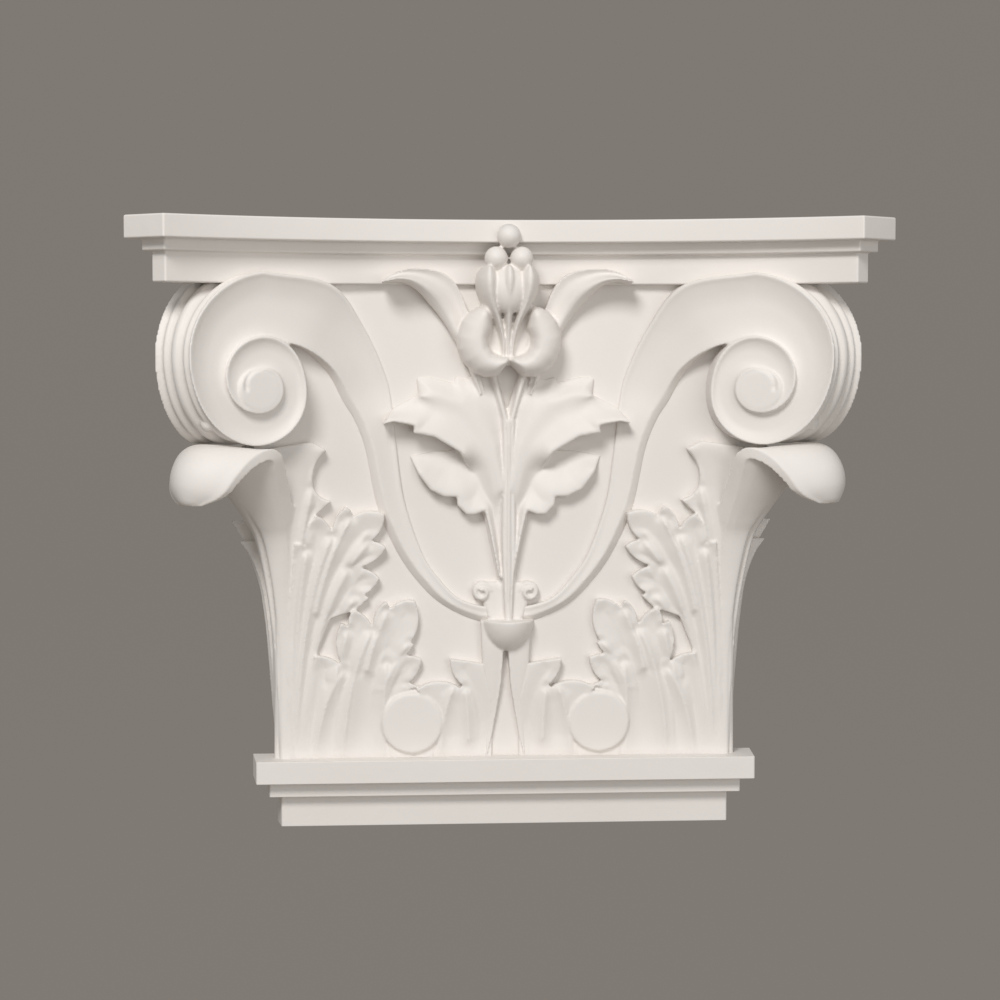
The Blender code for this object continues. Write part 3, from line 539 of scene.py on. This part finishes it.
# Rows up the corner's diagonal and out along the tongue: distance from the wall, level, half width, how
# far the sides sweep back, how far they drop, and thickness
TONGUE = (
    (17.0, 30.0, 6.5, 5.8, 0.0, 9.0),
    (17.2, 80.0, 6.5, 5.8, 0.0, 9.0),
    (19.5, 111.0, 7.0, 5.8, 0.0, 9.0),
    (24.0, 139.0, 10.0, 7.0, 0.0, 9.0),
    (28.0, 150.0, 13.0, 8.0, 0.0, 8.5),
    (35.0, 163.0, 17.5, 10.0, 0.0, 8.0),
    (42.0, 175.0, 22.5, 13.0, 0.0, 7.0),
    (47.0, 182.5, 25.0, 15.5, 2.0, 6.0),
    (52.5, 182.5, 24.5, 14.0, 5.0, 5.0),
    (56.5, 177.0, 22.0, 13.0, 5.5, 4.5),
    (58.0, 170.5, 18.5, 11.0, 4.5, 4.0),
    (57.5, 164.5, 11.5, 6.5, 2.0, 3.5),
    (56.5, 161.5, 3.5, 1.5, 0.3, 3.0),
)


def tongue():
    """The strip up the corner's diagonal and the tongue that curls out under the volute."""
    rows = catmull(TONGUE, 8)
    run = np.gradient(rows[:, :2], axis=0)
    run /= np.linalg.norm(run, axis=1)[:, None]
    root = math.sqrt(0.5)
    sideways = np.array((root, -root, 0.0))
    back = np.array((-root, -root, 0.0))
    side = np.linspace(-1, 1, 33)[:, None]
    rings = []
    for (out, up, half, sweep, drop, thick), (step_out, step_up) in zip(rows, run):
        normal = np.array((step_up * root, step_up * root, -step_out))
        middle = np.array((out + DIAGONAL, out, up))
        groove = GROOVE_DEPTH * np.exp(-(side * half / GROOVE_WIDTH) ** 2)
        groove = groove * (1 - smooth((up - GROOVE_TOP) / GROOVE_FADE))
        top = middle + sideways * half * side + (back * sweep - np.array((0, 0, drop))) * side**2
        round_off = 1.0 * np.maximum(np.abs(side) - 0.85, 0) / 0.15
        top = top - normal * (groove + round_off)
        rings.append(np.vstack([top, (top - normal * thick)[::-1]]))
    return loft(rings)


def plan_ring(up, corner_across, corner_out, hollow, steps, side_steps, draft=0.0):
    """A level outline from wall to wall, with hollow front and sides and clipped corners."""
    def out_of(x):
        if hollow:
            return hollow_out(x, corner_across, corner_out, hollow)
        return np.full(len(x), corner_out)

    x = np.linspace(0.0, corner_across, steps + 1)
    front = list(zip(x, out_of(x), np.full(len(x), up)))
    x = np.linspace(corner_across, DIAGONAL, side_steps + 1)
    out = x - DIAGONAL
    side = list(zip(out_of(x) + DIAGONAL + draft * (1 - out / corner_out), out, np.full(len(x), up)))
    half = front + side
    return half + [(-across, out, up) for across, out, up in reversed(half[1:])]


def bell():
    """The plain bell behind the carving, let into the bands above and below it."""
    rings = []
    for up in np.linspace(BASE_HEIGHT - BAND_OVERLAP, BELL_TOP + BAND_OVERLAP, BELL_RINGS):
        corner = float(bell_corner(up))
        hollow = max(corner - BELL_MIDDLE, LEAST_HOLLOW)
        rings.append(plan_ring(up, corner + DIAGONAL - BELL_CLIP, corner, hollow, 60, 24))
    points, faces = loft(rings)
    points[:, 1] = np.maximum(points[:, 1], BELL_STEP)
    return points, faces


def base():
    """The plain bands of the foot."""
    rings = []
    tops = [band[0] for band in BASE_BANDS[1:]] + [BASE_HEIGHT]
    for (low, across, out), top in zip(BASE_BANDS, tops):
        for up in (low, top):
            rings.append(plan_ring(up, across, out, 0, 1, 1, BASE_DRAFT))
    return loft(rings)


def abacus():
    """The abacus's three bands, the upper ones further out."""
    rings = []
    setbacks = (LOW_SETBACK, MIDDLE_SETBACK, 0.0)
    for low, top, setback in zip(ABACUS_LEVELS[:-1], ABACUS_LEVELS[1:], setbacks):
        for up in (low, top):
            rings.append(plan_ring(up, HORN_HALF, HORN_DEPTH - setback, ABACUS_HOLLOW, 48, 24))
    return loft(rings)


# Leaves, in shares: the side that rises from the foot, then each tip and notch with the share of the way up
# at which its rib starts, then the side that falls back to the foot
LEAF_BESIDE_CORNER = (
    ((0.964, -0.02), (0.960, 0.300)),
    ((0.933, 0.459, 0.0), (0.880, 0.452, 0.0), (0.841, 0.518, 0.0), (0.770, 0.480, 0.0), (0.708, 0.535, 0.5),
     (0.668, 0.516, 0.5), (0.538, 0.519, 0.0), (0.595, 0.463, 0.5), (0.531, 0.447, 0.5), (0.680, 0.405, 0.0),
     (0.562, 0.383, 0.0), (0.646, 0.347, 0.5), (0.608, 0.341, 0.5)),
    ((0.664, 0.316), (0.779, 0.297), (0.836, 0.230), (0.885, -0.02)),
)
LEAF_BESIDE_DISC = (
    ((0.898, -0.02), (0.885, 0.120)),
    ((0.850, 0.219, 0.0), (0.721, 0.192, 0.0), (0.735, 0.288, 0.5), (0.699, 0.280, 0.5), (0.677, 0.316, 0.0),
     (0.593, 0.278, 0.0), (0.536, 0.333, 0.5), (0.509, 0.318, 0.5), (0.406, 0.335, 0.0), (0.421, 0.251, 0.5),
     (0.410, 0.240, 0.5), (0.516, 0.205, 0.0), (0.375, 0.210, 0.0), (0.434, 0.160, 0.5), (0.395, 0.150, 0.5)),
    ((0.480, 0.137), (0.500, 0.110), (0.520, 0.080), (0.520, 0.050), (0.500, 0.020), (0.460, -0.005),
     (0.440, -0.02)),
)
LEAF_BY_STALK = (
    ((0.400, -0.02), (0.360, 0.005), (0.320, 0.040), (0.317, 0.085), (0.340, 0.115)),
    ((0.399, 0.145, 0.0), (0.240, 0.152, 0.10), (0.209, 0.145, 0.3), (0.191, 0.154, 0.25),
     (0.249, 0.209, 0.0)),
    ((0.099, 0.198), (0.060, 0.124), (0.060, -0.02)),
)
# The ground behind the disc, in shares
DISC_BED = ((0.330, -0.020), (0.506, -0.020), (0.540, 0.060), (0.470, 0.152), (0.360, 0.152), (0.296, 0.060))
# The top of the corner's leaf, listed like the leaves above
CORNER_LEAF = (
    ((0.930, -0.02), (0.925, 0.300), (0.880, 0.440), (0.850, 0.515)),
    ((0.774, 0.547, 0.3), (0.841, 0.580, 0.0), (0.796, 0.655, 0.2)),
    ((0.860, 0.672), (0.930, 0.668), (1.040, 0.660), (1.060, 0.600), (1.050, 0.450), (1.020, 0.300),
     (1.005, -0.02)),
)
# The big leaf's lobes, in shares
UPPER_LOBE_TOP = ((0.050, 0.800), (0.138, 0.810), (0.175, 0.800), (0.220, 0.806), (0.233, 0.794),
                  (0.337, 0.806), (0.395, 0.804), (0.386, 0.769), (0.499, 0.741))
UPPER_LOBE_EDGE = ((0.545, 0.709), (0.499, 0.714), (0.409, 0.705), (0.413, 0.690), (0.319, 0.681),
                   (0.206, 0.649))
UPPER_LOBE_STEM = ((0.150, 0.600), (0.090, 0.500), (0.045, 0.400), (0.010, 0.320), (-0.020, 0.320),
                   (-0.020, 0.600), (-0.005, 0.720))
UPPER_LOBE_FOLD = ((0.019, 0.571), (0.069, 0.657), (0.202, 0.745), (0.300, 0.763), (0.387, 0.768))
LOWER_LOBE_TOP = ((0.150, 0.640), (0.206, 0.652), (0.319, 0.650), (0.427, 0.640))
LOWER_LOBE_EDGE = ((0.386, 0.600), (0.337, 0.569), (0.275, 0.554), (0.219, 0.554), (0.215, 0.535),
                   (0.175, 0.516), (0.138, 0.516), (0.094, 0.524), (0.072, 0.480), (0.030, 0.380))
LOWER_LOBE_STEM = ((0.010, 0.380), (0.050, 0.560))
# How far the upper lobe and the lower one stand proud along their top, edge, stem side and fold
UPPER_LOBE_LIFTS = (2.0, 13.5, 3.2, 8.4)
LOWER_LOBE_LIFTS = (1.5, 8.0, 3.0)
LOBE_ROUNDING = 0.8
LOBE_STEP = 1.1

# One petal's outline and the line along which it is highest, in shares, and its heights
PETAL = ((0.098, 0.957), (0.140, 0.953), (0.175, 0.942), (0.208, 0.924), (0.230, 0.892), (0.226, 0.865),
         (0.201, 0.837), (0.157, 0.816), (0.106, 0.806), (0.055, 0.809), (0.026, 0.823), (0.000, 0.838),
         (0.000, 0.850), (0.033, 0.851), (0.070, 0.858), (0.091, 0.872), (0.091, 0.889), (0.071, 0.910),
         (0.077, 0.934), (0.092, 0.953))
PETAL_SPINE = ((0.115, 0.935), (0.130, 0.910), (0.142, 0.885), (0.132, 0.860), (0.100, 0.840), (0.060, 0.832),
               (0.025, 0.838))
PETAL_LIFT = 9.0
PETAL_SWELL = 13.0
# The curl beside the stem: its middle in shares, its radius, how much it closes, and its turn in half turns
CURL_PLACE = (0.105, 0.350)
CURL_RADIUS = 4.6
CURL_CLOSING = 0.72
CURL_START = 0.95
CURL_SWEEP = 2.7
# The stem and flower stand a little to the right of the middle line, in shares
MIDDLE_SHIFT = 0.012
FRUIT_SHIFT = 0.004
CUP_PLACE = (0.010, 0.296)
CUP_RADII = (13.0, 17.0, 16.8)
CUP_TOP_CUT = 1.2
FRUIT_PLACE = (FRUIT_SHIFT, 0.990)
FRUIT_OUT = 30.0
FRUIT_RADII = (8.6, 9.0, 12.0)
BERRIES = ((0.000, 1.100, 5.8), (-0.056, 1.054, 5.6), (0.056, 1.054, 5.6))
DROP_LEANS = (-0.088, 0.088, 0.0)
# Rows of across, up and half width in shares, and how far each stands proud
STEM_LINE = ((0.012, 0.285, 0.016, 7.5), (0.012, 0.360, 0.026, 8.0), (0.012, 0.480, 0.036, 8.5),
             (0.012, 0.640, 0.028, 8.5), (0.012, 0.715, 0.032, 8.0))
FORK_LINE = ((0.000, 0.690, 0.020, 7.5), (0.033, 0.750, 0.018, 7.5), (0.073, 0.820, 0.020, 7.5))
CURLED_TIP_LINE = ((0.105, 0.770, 0.014, 6.0), (0.150, 0.835, 0.022, 7.0), (0.190, 0.890, 0.040, 8.0),
                   (0.235, 0.945, 0.062, 9.0), (0.300, 0.990, 0.072, 13.0), (0.390, 1.012, 0.045, 17.0),
                   (0.470, 1.016, 0.024, 20.0), (0.550, 1.005, 0.004, 21.0))
# Cross-sections from side to side, as shares of the row's height
STEM_PROFILE = (0.35, 0.78, 0.92, 0.86, 0.84, 0.96, 1.0, 0.96, 0.84, 0.86, 0.92, 0.78, 0.35)
FORK_PROFILE = (0.3, 0.75, 0.95, 1.0, 0.95, 0.75, 0.3)
CURL_PROFILE = (0.55, 0.85, 0.97, 1.0, 0.97, 0.85, 0.55)
CURLED_TIP_PROFILE = (0.55, 0.82, 0.98, 1.0, 0.92, 0.8, 0.72, 0.7, 0.74, 0.8)
DROP_PROFILE = (0.35, 0.70, 0.86, 0.96, 1.0, 0.96, 0.86, 0.70, 0.35)
# Low grounds in shares: under the curls, behind the drops, and the leaf under the cup
BRIDGE = ((0.085, 0.300), (0.100, 0.325), (0.090, 0.350), (0.072, 0.372), (0.045, 0.372), (0.004, 0.365),
          (0.004, 0.285), (0.060, 0.285))
PANEL = ((0.012, 0.830), (0.090, 0.850), (0.110, 0.930), (0.105, 0.999), (0.004, 0.999), (0.004, 0.830))
STRIP_OUTER = ((0.112, 0.290), (0.104, 0.200), (0.086, 0.120), (0.084, 0.060), (0.092, -0.020))
STRIP_INNER = ((0.088, -0.020), (0.058, 0.050), (0.022, 0.150), (0.008, 0.240), (0.004, 0.290))
# The disc at the foot in shares and millimetres, and the round eye of the scroll in millimetres
DISC_PLACE = (0.418, 0.073)
DISC_RADIUS = 15.3
EYE_PLACE = (118.2, 214.2)
EYE_RADII = (10.4, 10.6)
EYE_CREASE = ((116.5, 225.5), (120.5, 224.0), (123.8, 221.0), (125.0, 217.5), (124.6, 214.8))


def flat(points):
    """A line given in shares, in millimetres."""
    return [place(*point) for point in points]


def lobe(lines, lifts):
    """A leaf's lobe through its top, edge and stem side, with this height along each line."""
    lines = [flat(line) for line in lines]
    features = list(zip(lines, lifts))

    def out_at(points, rim_gap):
        round_off = LOBE_ROUNDING * (1 - np.minimum(rim_gap / 1.2, 1.0)) ** 2
        return ground_out(points[:, 0], points[:, 1]) + blended(points, features) - round_off

    return pad(lines[0] + lines[1] + lines[2], out_at, LOBE_STEP)


def petal_solid():
    """A petal: a thick crescent, highest along its spine."""
    outline, spine = flat(PETAL), [flat(PETAL_SPINE)]

    def out_at(points, edge):
        share = edge / (edge + gap(points, spine) + 1e-6)
        swell = PETAL_SWELL * np.sqrt(np.maximum(2 * share - share**2, 0.0))
        return ground_out(points[:, 0], points[:, 1]) + PETAL_LIFT + swell

    return pad(outline, out_at, step=0.7)


# Rows of a drop: how far it leans out as a share, its level and half width in shares, and its height
DROP_LINE = ((0.20, 0.845, 0.012, 14.0), (0.26, 0.885, 0.017, 17.0), (0.50, 0.925, 0.022, 21.0),
             (0.80, 0.957, 0.034, 25.0), (0.96, 0.985, 0.047, 28.0), (1.00, 1.008, 0.052, 29.0),
             (1.00, 1.026, 0.042, 28.0), (1.00, 1.036, 0.022, 26.5), (1.00, 1.039, 0.004, 25.5))


def round_outline(across, up, radius, count=72):
    """Points of a circle, its middle given in shares."""
    across, up = place(across, up)
    return [(across + radius * math.cos(a), up + radius * math.sin(a))
            for a in np.linspace(0, 2 * math.pi, count, endpoint=False)]


def volute_eye():
    """The flat round eye in the middle of the scroll, with a crease that hooks into it."""
    outline = [(EYE_PLACE[0] + EYE_RADII[0] * math.cos(a), EYE_PLACE[1] + EYE_RADII[1] * math.sin(a))
               for a in np.linspace(0, 2 * math.pi, 72, endpoint=False)]
    crease = catmull(EYE_CREASE, 8)

    def out_at(points, edge):
        round_off = 1.6 * (1 - np.minimum(edge / 2.2, 1.0)) ** 2
        cut = 1.3 * np.exp(-(gap(points, [crease]) / 0.8) ** 2)
        return face_out(points[:, 0]) + 3.3 - round_off - cut - FACE_SINK

    return pad(outline, out_at, 0.6, VOLUTE_BACK + 10.0)


def volutes():
    """Both corners' scrolls, with the rim between front and side."""
    carving = Carving()
    carving.add(*scroll(RIBBON))
    carving.add(*scroll(RIBBON[:2]), beside=True)
    carving.add(*volute_eye())
    carving.add(*volute_eye(), beside=True)
    carving.add(*rim())
    across, up = spiral(0.36)
    carving.add(*ball(across + 2.2, float(face_out(across)) - 8.5, up, (3.7, 3.7, 3.7), rings=12))
    return carving.shape


def leaves():
    """The corner strips with their tongues, and the leaves round the foot."""
    carving = Carving()
    carving.add(*tongue())
    corner = leaf(*CORNER_LEAF, lift=2.0, curl=3.5, depth=2.6)
    carving.add(*corner)
    carving.add(*corner, beside=True)
    carving.add(*leaf(*LEAF_BESIDE_CORNER, lift=2.0, curl=4.0, depth=3.2))
    carving.add(*leaf(*LEAF_BESIDE_CORNER, lift=2.2, curl=7.0, depth=2.6, flare=16.0), beside=True)
    carving.add(*leaf(*LEAF_BESIDE_DISC, lift=2.2, curl=3.2, depth=3.0))
    carving.add(*leaf(*LEAF_BY_STALK, lift=2.0, curl=3.4, depth=2.8))
    carving.add(*puffed(flat(DISC_BED), lift=2.2, puff=0.8, half=1.5))
    carving.add(*puffed(round_outline(*DISC_PLACE, DISC_RADIUS), lift=3.8, puff=1.6, half=1.8))
    return carving.shape


def stalk_strip():
    """One of the two leaves that part under the cup, with a thin raised edge towards the middle."""
    outer, inner = flat(STRIP_OUTER), flat(STRIP_INNER)

    def out_at(points, edge):
        rib = 1.1 * np.exp(-(gap(points, [inner]) / 0.7) ** 2)
        roll = 1.2 * (1 - np.exp(-edge / 2.0))
        up = (points[:, 1] - BASE_HEIGHT) / BELL_HEIGHT
        return ground_out(points[:, 0], points[:, 1]) + 2.2 + 3.2 * smooth((up - 0.02) / 0.25) + roll + rib

    return pad(outer + inner[1:], out_at, step=0.7)


def curl():
    """The small scroll in which a ribbon ends beside the stem."""
    across, up = place(*CURL_PLACE)
    rows = []
    for t in np.linspace(0, 1, 40):
        angle = math.pi * (CURL_START - CURL_SWEEP * t)
        radius = CURL_RADIUS * (1 - CURL_CLOSING * t)
        rows.append((across + radius * math.cos(angle), up + radius * math.sin(angle), 1.5, 4.6 + 2.4 * t))
    return blade(rows, CURL_PROFILE)


def flower():
    """Everything on the middle line: stem, cup, big leaves, flower and fruit."""
    carving = Carving()
    carving.add(*lobe((UPPER_LOBE_TOP, UPPER_LOBE_EDGE, UPPER_LOBE_STEM, UPPER_LOBE_FOLD), UPPER_LOBE_LIFTS))
    carving.add(*lobe((LOWER_LOBE_TOP, LOWER_LOBE_EDGE, LOWER_LOBE_STEM), LOWER_LOBE_LIFTS))
    carving.add(*stalk_strip())
    carving.add(*curl())
    carving.add(*puffed(round_outline(*CURL_PLACE, 4.2, 40), lift=3.4, puff=0.8, half=1.5))
    carving.add(*puffed(flat(BRIDGE), lift=2.4, puff=1.6, half=2.0))
    carving.add(*blade(shares(STEM_LINE, 16), STEM_PROFILE), twin=False)
    across, up = place(*CUP_PLACE)
    cup, cup_faces = ball(across, BELL_MIDDLE, up, CUP_RADII, rings=32)
    cup[:, 2] = np.minimum(cup[:, 2], up - CUP_TOP_CUT)
    carving.add(cup, cup_faces, twin=False)

    petal, petal_faces = petal_solid()
    middle = MIDDLE_SHIFT * HALF_SHAFT
    for side in (-1, 1):
        fork = [(MIDDLE_SHIFT + side * across, up, half, lift) for across, up, half, lift in FORK_LINE]
        carving.add(*blade(shares(fork, 12), FORK_PROFILE), twin=False)
        carving.add(petal * (side, 1.0, 1.0) + (middle, 0.0, 0.0), petal_faces, twin=False)
    carving.add(*puffed(flat(PANEL), lift=10.0, puff=0.8, half=1.0))
    carving.add(*blade(shares(CURLED_TIP_LINE, 14), CURLED_TIP_PROFILE))
    across, up = place(*FRUIT_PLACE)
    carving.add(*ball(across, FRUIT_OUT, up, FRUIT_RADII), twin=False)
    for across, up, size in BERRIES:
        x, z = place(across + FRUIT_SHIFT, up)
        carving.add(*ball(x, float(face_out(x)) + size * 1.2, z, (size, size * 1.3, size)), twin=False)
    for lean in DROP_LEANS:
        rows = [(FRUIT_SHIFT + lean * share, up, half, out) for share, up, half, out in DROP_LINE]
        carving.add(*blade(shares(rows, 12), DROP_PROFILE), twin=False)
    return carving.shape


def one_surface(name, shape):
    """One even surface from the joined solids, cut flat at the wall and thinned to a fair size."""
    mesh = bpy.data.meshes.new(name)
    shape.to_mesh(mesh)
    shape.free()
    piece = bpy.data.objects.new(name, mesh)
    bpy.context.scene.collection.objects.link(piece)
    remesh = piece.modifiers.new("one surface", "REMESH")
    remesh.mode, remesh.voxel_size, remesh.use_smooth_shade = "VOXEL", VOXEL, True
    soften = piece.modifiers.new("soften", "SMOOTH")
    soften.factor, soften.iterations = 0.5, SOFTEN_TIMES
    settle(piece)
    shape = bmesh.new()
    shape.from_mesh(piece.data)
    cut = bmesh.ops.bisect_plane(shape, geom=shape.verts[:] + shape.edges[:] + shape.faces[:],
                                 plane_co=(0, -CARVING_STEP / 1000, 0), plane_no=(0, 1, 0),
                                 clear_outer=True)["geom_cut"]
    bmesh.ops.triangle_fill(shape, edges=[item for item in cut if isinstance(item, bmesh.types.BMEdge)])
    shape.to_mesh(piece.data)
    shape.free()
    thin = piece.modifiers.new("thin", "DECIMATE")
    piece.data.calc_loop_triangles()
    thin.ratio = min(MOST_TRIANGLES / len(piece.data.loop_triangles), 1.0)
    settle(piece)
    return piece


def settle(piece):
    """Applies the piece's modifiers to its mesh."""
    graph = bpy.context.evaluated_depsgraph_get()
    mesh = bpy.data.meshes.new_from_object(piece.evaluated_get(graph))
    piece.modifiers.clear()
    piece.data = mesh


def moulding(name, solid):
    """A crisp run of bands with slightly rounded edges."""
    points, faces = solid
    mesh = bpy.data.meshes.new(name)
    mesh.from_pydata(to_world(points), [], faces)
    piece = bpy.data.objects.new(name, mesh)
    bpy.context.scene.collection.objects.link(piece)
    shape = bmesh.new()
    shape.from_mesh(mesh)
    bmesh.ops.recalc_face_normals(shape, faces=shape.faces)
    shape.to_mesh(mesh)
    shape.free()
    bevel = piece.modifiers.new("rounded edges", "BEVEL")
    bevel.width, bevel.segments = EDGE_ROUNDING, 3
    bevel.limit_method, bevel.angle_limit = "ANGLE", math.radians(ROUNDED_ANGLE)
    weighted = piece.modifiers.new("even shading", "WEIGHTED_NORMAL")
    weighted.keep_sharp = False
    for face in mesh.polygons:
        face.use_smooth = True
    settle(piece)
    return piece


def paint():
    """Warm white primer, nearly matte, with faint unevenness from the mould."""
    material = bpy.data.materials.new("primed_white")
    material.use_nodes = True
    nodes, links = material.node_tree.nodes, material.node_tree.links
    shader = nodes["Principled BSDF"]
    shader.inputs["Roughness"].default_value = 0.55
    shader.inputs["Specular IOR Level"].default_value = 0.35
    where = nodes.new("ShaderNodeTexCoord")

    def noise(scale, detail):
        texture = nodes.new("ShaderNodeTexNoise")
        texture.inputs["Scale"].default_value = scale
        texture.inputs["Detail"].default_value = detail
        links.new(where.outputs["Object"], texture.inputs["Vector"])
        return texture.outputs["Fac"]

    def bump(height, strength, distance):
        node = nodes.new("ShaderNodeBump")
        node.inputs["Strength"].default_value = strength
        node.inputs["Distance"].default_value = distance
        links.new(height, node.inputs["Height"])
        return node

    tint = nodes.new("ShaderNodeMix")
    tint.data_type = "RGBA"
    tint.inputs[6].default_value = (0.80, 0.765, 0.725, 1)
    tint.inputs[7].default_value = (0.84, 0.81, 0.775, 1)
    links.new(noise(14.0, 4.0), tint.inputs[0])
    links.new(tint.outputs[2], shader.inputs["Base Color"])
    swell = bump(noise(55.0, 3.0), 0.25, 0.0012)
    grain = bump(noise(900.0, 2.0), 0.10, 0.0002)
    links.new(swell.outputs["Normal"], grain.inputs["Normal"])
    links.new(grain.outputs["Normal"], shader.inputs["Normal"])
    return material


def plain(name, colour, glow):
    """A dull even material that gives off a little light of its own."""
    material = bpy.data.materials.new(name)
    material.use_nodes = True
    shader = material.node_tree.nodes["Principled BSDF"]
    shader.inputs["Base Color"].default_value = (*colour, 1)
    shader.inputs["Roughness"].default_value = 0.95
    shader.inputs["Specular IOR Level"].default_value = 0.1
    shader.inputs["Emission Color"].default_value = (*glow, 1)
    shader.inputs["Emission Strength"].default_value = 1.0
    return material


# The floor and backdrop, in metres
FLOOR_REACH = 6.0
FLOOR_LEVEL = -1.2
CURVE_START = 1.8
CURVE_RADIUS = 0.9
BACKDROP_TOP = 4.0
BACKDROP_COLOUR = (0.14, 0.128, 0.116)
BACKDROP_GLOW = (0.150, 0.137, 0.123)
WORLD_COLOUR = (1.0, 0.985, 0.965)
WORLD_STRENGTH = 0.34
# The camera stands a little above the capital and to its left
CAMERA_PLACE = (-0.0960, -1.259, 0.0906)
CAMERA_AIM = (-0.0036, -0.0272, 0.0128)
CAMERA_LENS = 92


def studio():
    """A pale floor that curves up into a plain backdrop, both evenly lit and well clear of the capital."""
    profile = [(-FLOOR_REACH, FLOOR_LEVEL), (CURVE_START, FLOOR_LEVEL)]
    for angle in np.linspace(0, 90, 12)[1:]:
        a = math.radians(angle)
        profile.append((CURVE_START + CURVE_RADIUS * math.sin(a),
                        FLOOR_LEVEL + CURVE_RADIUS * (1 - math.cos(a))))
    profile.append((CURVE_START + CURVE_RADIUS, BACKDROP_TOP))
    points = [(x, y, z) for x in (-FLOOR_REACH, FLOOR_REACH) for y, z in profile]
    count = len(profile)
    faces = [(i, i + 1, count + i + 1, count + i) for i in range(count - 1)]
    mesh = bpy.data.meshes.new("backdrop")
    mesh.from_pydata(points, [], faces)
    for face in mesh.polygons:
        face.use_smooth = True
    backdrop = bpy.data.objects.new("backdrop", mesh)
    backdrop.data.materials.append(plain("backdrop", BACKDROP_COLOUR, BACKDROP_GLOW))
    bpy.context.scene.collection.objects.link(backdrop)


def lamp(name, location, size, energy, colour):
    """A round soft light that faces the capital."""
    light = bpy.data.objects.new(name, bpy.data.lights.new(name, "AREA"))
    light.data.shape = "DISK"
    light.data.size, light.data.energy, light.data.color = size, energy, colour
    light.location = location
    light.rotation_euler = (-Vector(location)).to_track_quat("-Z", "Y").to_euler()
    bpy.context.scene.collection.objects.link(light)


def camera():
    """The photograph's viewing angle."""
    thing = bpy.data.objects.new("camera", bpy.data.cameras.new("camera"))
    bpy.context.scene.collection.objects.link(thing)
    thing.location = CAMERA_PLACE
    thing.rotation_euler = (Vector(CAMERA_AIM) - thing.location).to_track_quat("-Z", "Y").to_euler()
    thing.data.lens = CAMERA_LENS
    thing.data.clip_start = 0.01
    bpy.context.scene.camera = thing


primer = paint()
pieces = [one_surface("volutes", volutes()), one_surface("leaves", leaves()), one_surface("flower", flower()),
          moulding("bell", bell()), moulding("base_bands", base()), moulding("abacus", abacus())]
for piece in pieces:
    piece.data.materials.clear()
    piece.data.materials.append(primer)
    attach(piece, "root")
    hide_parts("capital")
studio()
lamp("key", (-0.55, -1.6, 1.25), 0.7, 25, (1.0, 0.985, 0.975))
lamp("fill", (0.9, -2.3, 0.1), 1.6, 13, (1.0, 0.99, 0.985))
world = bpy.data.worlds.new("studio")
world.use_nodes = True
world.node_tree.nodes["Background"].inputs[0].default_value = (*WORLD_COLOUR, 1)
world.node_tree.nodes["Background"].inputs[1].default_value = WORLD_STRENGTH
bpy.context.scene.world = world
bpy.context.scene.view_settings.view_transform = "Standard"
camera()
